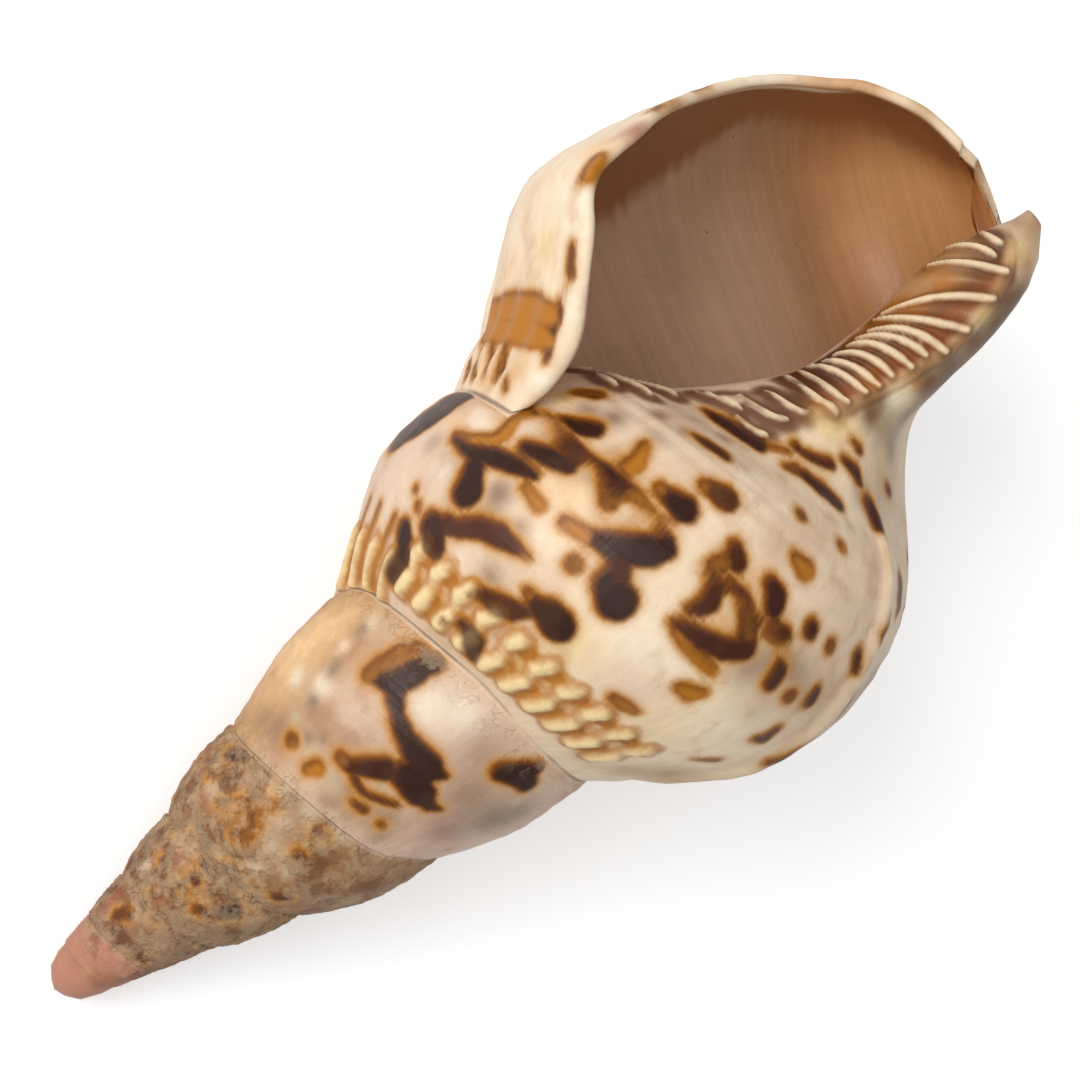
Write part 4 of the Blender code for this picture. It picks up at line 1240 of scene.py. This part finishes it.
# %%
class Wiring:
    """Adds nodes to one tree and joins each to what feeds it."""

    def __init__(self, tree):
        self.tree = tree

    def node(self, kind, feeds=(), **settings):
        made = self.tree.nodes.new(kind)
        for name, value in settings.items():
            setattr(made, name, value)
        for socket, value in dict(feeds).items():
            self.feed(made.inputs[socket], value)
        return made

    def feed(self, socket, value):
        if isinstance(value, bpy.types.NodeSocket):
            self.tree.links.new(value, socket)
        else:
            socket.default_value = value

    def sum(self, a, b):
        return self.node("ShaderNodeMath", {0: a, 1: b}, operation="ADD").outputs[0]

    def times(self, a, b):
        return self.node("ShaderNodeMath", {0: a, 1: b}, operation="MULTIPLY").outputs[0]

    def mask(self, value, low, high):
        """0 at low, 1 at high, soft between; low may be more than high."""
        feeds = {"Value": value, "From Min": low, "From Max": high}
        return self.node("ShaderNodeMapRange", feeds, interpolation_type="SMOOTHSTEP").outputs[0]

    def blend(self, share, a, b, how="MIX"):
        feeds = {0: share, 6: a, 7: b}
        return self.node("ShaderNodeMix", feeds, data_type="RGBA", blend_type=how).outputs[2]

    def noise(self, at, scale, detail=3.0, rough=0.5, bend=0.0):
        feeds = {"Vector": at, "Scale": scale, "Detail": detail, "Roughness": rough, "Distortion": bend}
        return self.node("ShaderNodeTexNoise", feeds).outputs[0]

    def wander(self, noise, amount):
        """Noise about 0 instead of about a half, as far as amount each way."""
        centred = self.node("ShaderNodeMath", {0: noise, 1: 0.5}, operation="SUBTRACT").outputs[0]
        return self.times(centred, 2.6 * amount)

    def stored(self, name):
        """The three stored values of that name."""
        vector = self.node("ShaderNodeAttribute", attribute_name=name).outputs["Vector"]
        return self.node("ShaderNodeSeparateXYZ", {0: vector}).outputs

    def stored_vector(self, name):
        return self.node("ShaderNodeAttribute", attribute_name=name).outputs["Vector"]


def rgb(*colour):
    """A colour as written, for a colour socket."""
    return (*(float(part) for part in linear(colour)), 1)


def new_group(name, inputs, outputs):
    """An empty effect with named inputs and outputs: (name, kind of socket, value)."""
    group = bpy.data.node_groups.new(name, "ShaderNodeTree")
    for label, kind, value in inputs:
        socket = group.interface.new_socket(name=label, in_out="INPUT", socket_type="NodeSocket" + kind)
        socket.default_value = value
    for label, kind in outputs:
        group.interface.new_socket(name=label, in_out="OUTPUT", socket_type="NodeSocket" + kind)
    wires = Wiring(group)
    return wires, wires.node("NodeGroupInput").outputs, wires.node("NodeGroupOutput").inputs


# %% [markdown]
# ## Growth lines, chalk and grime
#
# Three effects belong to the lime itself. Growth lines run from suture to canal, fine and uneven, and
# fine spiral threads cross them; both finishes use these. Wear takes the glaze off and leaves chalk with
# hairline cracks that dirt has filled; only the glaze has it.

# %%
def growth_lines():
    wires, given, result = new_group(
        "Growth lines",
        [("Growth", "Vector", (0, 0, 0)), ("Lines a turn", "Float", 130.0), ("Threads a walk", "Float", 9.0)],
        [("Lines", "Float"), ("Threads", "Float"), ("Height", "Float")],
    )
    parts = wires.node("ShaderNodeSeparateXYZ", {0: given["Growth"]}).outputs
    along = wires.times(parts[0], given["Lines a turn"])
    slow = wires.times(parts[1], 0.8)
    lines_at = wires.node("ShaderNodeCombineXYZ", {0: along, 1: slow}).outputs[0]
    lines = wires.noise(lines_at, 1.0, detail=4.0, rough=0.65)
    steady = wires.times(parts[0], 7.0)
    quick = wires.times(parts[1], given["Threads a walk"])
    threads_at = wires.node("ShaderNodeCombineXYZ", {0: steady, 1: quick}).outputs[0]
    threads = wires.noise(threads_at, 1.0, detail=3.0, rough=0.6)
    height = wires.sum(wires.wander(lines, 0.06), wires.wander(threads, 0.05))
    wires.feed(result["Lines"], lines)
    wires.feed(result["Threads"], threads)
    wires.feed(result["Height"], height)
    return wires.tree


def chalk_and_cracks():
    wires, given, result = new_group(
        "Chalk and cracks",
        [("At", "Vector", (0, 0, 0)), ("Worn", "Float", 0.0), ("Crack spacing", "Float", 420.0)],
        [("Chalk", "Float"), ("Cracks", "Float"), ("Height", "Float")],
    )
    patchy = wires.noise(given["At"], 190.0, detail=5.0, rough=0.7)
    chalk = wires.mask(wires.sum(patchy, wires.times(given["Worn"], 0.17)), 0.56, 0.68)
    bent = wires.node("ShaderNodeTexNoise", {"Vector": given["At"], "Scale": 260.0}).outputs[1]
    millimetres = {0: bent, 1: (0.006, 0.006, 0.006)}
    at = wires.node("ShaderNodeVectorMath", millimetres, operation="MULTIPLY").outputs[0]
    at = wires.node("ShaderNodeVectorMath", {0: at, 1: given["At"]}, operation="ADD").outputs[0]
    cells = wires.node(
        "ShaderNodeTexVoronoi", {"Vector": at, "Scale": given["Crack spacing"]}, feature="DISTANCE_TO_EDGE"
    ).outputs[0]
    lines = wires.mask(cells, 0.09, 0.02)
    broken = wires.mask(wires.noise(given["At"], 330.0), 0.45, 0.6)
    cracks = wires.times(wires.times(lines, broken), given["Worn"])
    height = wires.sum(wires.times(chalk, 0.07), wires.times(cracks, -0.12))
    wires.feed(result["Chalk"], wires.times(chalk, wires.mask(given["Worn"], 0.02, 0.5)))
    wires.feed(result["Cracks"], cracks)
    wires.feed(result["Height"], height)
    return wires.tree


GROWTH_LINES = growth_lines()
CHALK = chalk_and_cracks()
print("effects:", GROWTH_LINES.name, "and", CHALK.name)

# %% [markdown]
# ## The glaze
#
# The outside is fired-looking but not glass: glossy lime, cream under the colour. Spots go golden at
# the edge and chocolate at the heart, with a crisp edge towards the lip. Their distances come off the
# mesh; the wandering of the edge is drawn here, along the growth lines. The crests of the teeth are
# bare cream lime, and the sutures are darkened in patches with painted shade.

# %%
def glaze():
    material = bpy.data.materials.new("Glazed outside")
    material.use_nodes = True
    wires = Wiring(material.node_tree)
    surface = wires.tree.nodes["Principled BSDF"]
    at = wires.node("ShaderNodeTexCoord").outputs["Object"]
    spot, halo, tone = wires.stored("marks")
    crest, worn = wires.stored("form")[:2]
    by_suture, pearl = wires.stored("place")[1:]
    growth = wires.stored_vector("growth")
    lines, threads, line_height = wires.node(
        "ShaderNodeGroup", {}, node_tree=GROWTH_LINES).outputs
    group = lines.node
    wires.feed(group.inputs["Growth"], growth)
    broad = wires.noise(at, 60.0)
    mid = wires.noise(at, 330.0, detail=4.0)
    fine = wires.noise(at, 1500.0, detail=2.0)

    # Cream lime, a little lighter and darker from line to line, with lilac drifts
    colour = wires.stored_vector("ground")
    shade = wires.sum(0.98, wires.sum(wires.wander(lines, 0.09), wires.wander(mid, 0.06)))
    grey_shade = wires.node("ShaderNodeCombineXYZ", {0: shade, 1: shade, 2: shade}).outputs[0]
    colour = wires.blend(1.0, colour, grey_shade, "MULTIPLY")
    drift = wires.times(wires.mask(broad, 0.5, 0.68), 0.4)
    colour = wires.blend(drift, colour, rgb(226, 206, 196), "MULTIPLY")
    stain = wires.times(wires.mask(wires.noise(at, 95.0, detail=5.0), 0.52, 0.7), 0.35)
    colour = wires.blend(stain, colour, rgb(214, 176, 128), "MULTIPLY")

    # The golden edge, then the dark heart
    edge = wires.sum(wires.wander(mid, 0.5), wires.wander(lines, 0.35))
    haze = wires.mask(wires.sum(halo, edge), -2.6, 0.4)
    colour = wires.blend(wires.times(haze, 0.5), colour, rgb(204, 150, 82))
    golden = wires.mask(wires.sum(halo, edge), -1.1, 0.9)
    gold = wires.blend(wires.mask(halo, -0.2, 1.5), rgb(196, 130, 44), rgb(130, 70, 14))
    gold = wires.blend(wires.times(wires.mask(fine, 0.4, 0.65), 0.25), gold, rgb(106, 56, 16))
    colour = wires.blend(golden, colour, gold)
    ragged = wires.sum(wires.wander(mid, 0.4), wires.wander(lines, 0.25))
    heart = wires.mask(wires.sum(spot, ragged), -0.75, 1.35)
    depth_of_tone = wires.mask(wires.sum(tone, wires.wander(mid, 0.18)), 0.12, 0.75)
    brown = wires.blend(depth_of_tone, rgb(184, 116, 28), rgb(74, 33, 12))
    dark = wires.blend(wires.mask(tone, 0.75, 1.0), brown, rgb(52, 24, 13))
    dark = wires.blend(wires.times(wires.mask(broad, 0.52, 0.64), 0.25), dark, rgb(100, 66, 48))
    colour = wires.blend(heart, colour, dark)

    # Beads: cream-yellow on top where the spots leave them bare
    bare = wires.sum(1.0, wires.times(wires.times(heart, wires.mask(tone, 0.5, 0.85)), -0.85))
    between = wires.times(wires.mask(wires.sum(pearl, wires.wander(mid, 1.2)), -2.6, -0.8), bare)
    colour = wires.blend(wires.times(between, 0.75), colour, rgb(184, 118, 44))
    bead_top = wires.mask(wires.sum(pearl, wires.wander(mid, 0.9)), -1.0, 1.3)
    colour = wires.blend(wires.times(wires.times(bead_top, bare), 0.9), colour, rgb(248, 222, 166))

    # Teeth: cream crests between brown grooves
    groove = wires.times(wires.mask(crest, -2.2, -0.9), wires.mask(crest, 0.0, -0.5))
    colour = wires.blend(wires.times(groove, 0.35), colour, rgb(96, 50, 26))
    top = wires.mask(wires.sum(crest, wires.wander(mid, 0.3)), -0.5, 0.45)
    colour = wires.blend(wires.times(top, 0.92), colour, rgb(242, 216, 178))

    # Where the glaze has gone
    chalk_node = wires.node("ShaderNodeGroup", {}, node_tree=CHALK)
    wires.feed(chalk_node.inputs["At"], at)
    weather = wires.sum(wires.times(worn, 0.75), wires.times(by_suture, 0.8))
    wires.feed(chalk_node.inputs["Worn"], weather)
    chalk, cracks, chalk_height = chalk_node.outputs
    mottle = wires.mask(wires.noise(at, 135.0, detail=6.0, rough=0.65, bend=0.6), 0.46, 0.58)
    colour = wires.blend(wires.times(wires.times(mottle, worn), 0.72), colour, rgb(96, 54, 30))
    pale = wires.mask(wires.noise(at, 170.0, detail=5.0, rough=0.6, bend=0.4), 0.54, 0.66)
    colour = wires.blend(wires.times(wires.times(pale, worn), 0.42), colour, rgb(206, 176, 138))
    colour = wires.blend(wires.times(chalk, 0.32), colour, rgb(206, 182, 148))
    colour = wires.blend(wires.times(cracks, 0.3), colour, rgb(84, 60, 46))

    # Painted shade in the sutures' creases, broken into patches
    walk_here = wires.node("ShaderNodeSeparateXYZ", {0: growth}).outputs[1]
    top_edge = wires.mask(walk_here, 0.06, 0.01)
    low_edge = wires.times(wires.mask(walk_here, 4.93, 4.99), wires.mask(walk_here, 5.03, 5.01))
    turned = wires.node("ShaderNodeSeparateXYZ", {0: growth}).outputs[0]
    low_edge = wires.times(low_edge, wires.mask(turned, 0.98, 1.02))
    suture_shade = wires.times(wires.sum(top_edge, low_edge), wires.mask(broad, 0.2, 0.55))
    suture_shade = wires.times(suture_shade, wires.mask(turned, 3.2, 1.8))
    colour = wires.blend(wires.times(suture_shade, 0.7), colour, rgb(84, 62, 46))

    wires.feed(surface.inputs["Base Color"], colour)
    rough = wires.sum(0.36, wires.sum(wires.times(weather, 0.3), wires.times(chalk, 0.15)))
    rough = wires.sum(rough, wires.wander(mid, 0.05))
    wires.feed(surface.inputs["Roughness"], rough)
    surface.inputs["IOR"].default_value = 1.42
    surface.inputs["Specular IOR Level"].default_value = 0.36
    height = wires.sum(wires.sum(line_height, chalk_height), wires.wander(fine, 0.012))
    bump = wires.node("ShaderNodeBump", {"Height": height, "Distance": MM, "Strength": 1.0})
    wires.feed(surface.inputs["Normal"], bump.outputs[0])
    return material


# %% [markdown]
# ## The lining
#
# Inside, the snail's own body kept the lime smooth: mauve-brown, with faint rays that run in from the
# lip. Behind the pale lip there is a dark red-brown band whose inner edge is scalloped, one scallop for
# each cord outside.

# %%
def lining_finish():
    material = bpy.data.materials.new("Smooth lining")
    material.use_nodes = True
    wires = Wiring(material.node_tree)
    surface = wires.tree.nodes["Principled BSDF"]
    at = wires.node("ShaderNodeTexCoord").outputs["Object"]
    lip_band = wires.stored("form")[2]
    depth = wires.stored("place")[0]
    growth = wires.stored_vector("growth")
    lines_node = wires.node("ShaderNodeGroup", {}, node_tree=GROWTH_LINES)
    wires.feed(lines_node.inputs["Growth"], growth)
    wires.feed(lines_node.inputs["Lines a turn"], 60.0)
    wires.feed(lines_node.inputs["Threads a walk"], 6.0)
    lines, threads, line_height = lines_node.outputs
    broad = wires.noise(at, 30.0, detail=4.0)
    mid = wires.noise(at, 260.0)

    colour = wires.stored_vector("ground")
    shade = wires.sum(1.0, wires.sum(wires.wander(threads, 0.16), wires.wander(broad, 0.16)))
    shade = wires.sum(shade, wires.wander(lines, 0.05))
    grey_shade = wires.node("ShaderNodeCombineXYZ", {0: shade, 1: shade, 2: shade}).outputs[0]
    colour = wires.blend(1.0, colour, grey_shade, "MULTIPLY")
    walk_here = wires.node("ShaderNodeSeparateXYZ", {0: growth}).outputs[1]
    scallop_at = wires.node("ShaderNodeCombineXYZ", {0: wires.times(walk_here, 5.0)}).outputs[0]
    scallops = wires.wander(wires.noise(scallop_at, 1.0, detail=1.0), 3.5)
    reach = wires.sum(wires.sum(lip_band, scallops), wires.wander(mid, 0.8))
    colour = wires.blend(wires.times(wires.mask(reach, -7.0, 5.0), 0.85), colour, rgb(158, 96, 52))
    pale_lip = wires.mask(wires.sum(depth, wires.wander(mid, 0.4)), 2.6, 1.2)
    pale_lip = wires.times(pale_lip, wires.mask(walk_here, 9.2, 7.5))
    colour = wires.blend(pale_lip, colour, rgb(226, 204, 168))
    specks = wires.mask(wires.noise(at, 520.0, detail=1.0), 0.78, 0.82)
    colour = wires.blend(wires.times(specks, 0.6), colour, rgb(84, 62, 50))

    wires.feed(surface.inputs["Base Color"], colour)
    wires.feed(surface.inputs["Roughness"], wires.sum(0.42, wires.wander(mid, 0.06)))
    surface.inputs["IOR"].default_value = 1.52
    bump = wires.node("ShaderNodeBump", {"Height": line_height, "Distance": MM, "Strength": 0.8})
    wires.feed(surface.inputs["Normal"], bump.outputs[0])
    return material


mesh.materials.append(glaze())
mesh.materials.append(lining_finish())
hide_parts("shell")
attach(shell, "root")
print("finishes:", [material.name for material in mesh.materials])

# %% [markdown]
# ## The table and the light
#
# The shell is shown as it would be for a catalogue: on a plain white table under a broad soft light
# from the spire's side, with the sky filling the shadows. The table looks evenly white from above but
# still takes the shell's shadow.

# %%
floor_mesh = bpy.data.meshes.new("Table")
reach = 3.0
floor_mesh.from_pydata([(-reach, -reach, 0), (reach, -reach, 0), (reach, reach, 0), (-reach, reach, 0)], [],
                       [(0, 1, 2, 3)])
floor = bpy.data.objects.new("Table", floor_mesh)
bpy.context.scene.collection.objects.link(floor)
table = bpy.data.materials.new("Pale table")
table.use_nodes = True
wires = Wiring(table.node_tree)
top = wires.tree.nodes["Principled BSDF"]
top.inputs["Base Color"].default_value = (0.9, 0.9, 0.9, 1)
top.inputs["Roughness"].default_value = 0.9
top.inputs["Specular IOR Level"].default_value = 0.1
top.inputs["Emission Color"].default_value = (1, 1, 1, 1)
seen = wires.node("ShaderNodeLightPath").outputs["Is Camera Ray"]
wires.feed(top.inputs["Emission Strength"], wires.times(seen, 0.36))
floor_mesh.materials.append(table)

world = bpy.data.worlds.new("Sky")
world.use_nodes = True
world.node_tree.nodes["Background"].inputs["Color"].default_value = (1, 1, 1, 1)
world.node_tree.nodes["Background"].inputs["Strength"].default_value = 0.36
bpy.context.scene.world = world

middle_of_shell = Vector((0, 0, 0.05))


def soft_light(name, direction, distance, width, brightness):
    """A square light that lights a surface facing it by brightness, beside the sky's own light."""
    lamp = bpy.data.lights.new(name, "AREA")
    lamp.size = width
    lamp.energy = brightness * math.pi**2 * distance**2
    light = bpy.data.objects.new(name, lamp)
    light.location = middle_of_shell + Vector(direction).normalized() * distance
    light.rotation_euler = Vector(direction).to_track_quat("Z", "Y").to_euler()
    bpy.context.scene.collection.objects.link(light)
    return light


soft_light("Window", (0.34, -0.85, 0.75), 2.0, 1.1, 0.52)
soft_light("Front", (0.3, -0.25, 0.92), 1.6, 2.0, 0.42)

# %% [markdown]
# ## The view
#
# The camera stands square to the shell's axis, looks straight at the mouth's side and is rolled so that
# the spire runs down to the left.

# %%
CAMERA_FROM_AXIS = 480
CAMERA_ALONG_AXIS = -157.5
CAMERA_ASIDE = 15.3
CAMERA_ROLL = math.radians(-126.86)
LENS = 71.2

camera = bpy.data.objects.new("Camera", bpy.data.cameras.new("Camera"))
camera.data.lens = LENS
camera.data.sensor_width = 36
right = Vector((math.cos(CAMERA_ROLL), 0, math.sin(CAMERA_ROLL)))
back = Vector((0, -1, 0))
up = back.cross(right)
turn_matrix = lying_axes()
stand = turn_matrix @ Vector((CAMERA_ASIDE, -CAMERA_FROM_AXIS, CAMERA_ALONG_AXIS)) * MM + Vector(shift)
axes = Matrix((turn_matrix @ right, turn_matrix @ up, turn_matrix @ back)).transposed()
camera.matrix_world = Matrix.Translation(stand) @ axes.to_4x4()
bpy.context.scene.collection.objects.link(camera)
bpy.context.scene.camera = camera
bpy.context.scene.view_settings.view_transform = "Standard"
print("camera at", [round(c, 3) for c in stand])
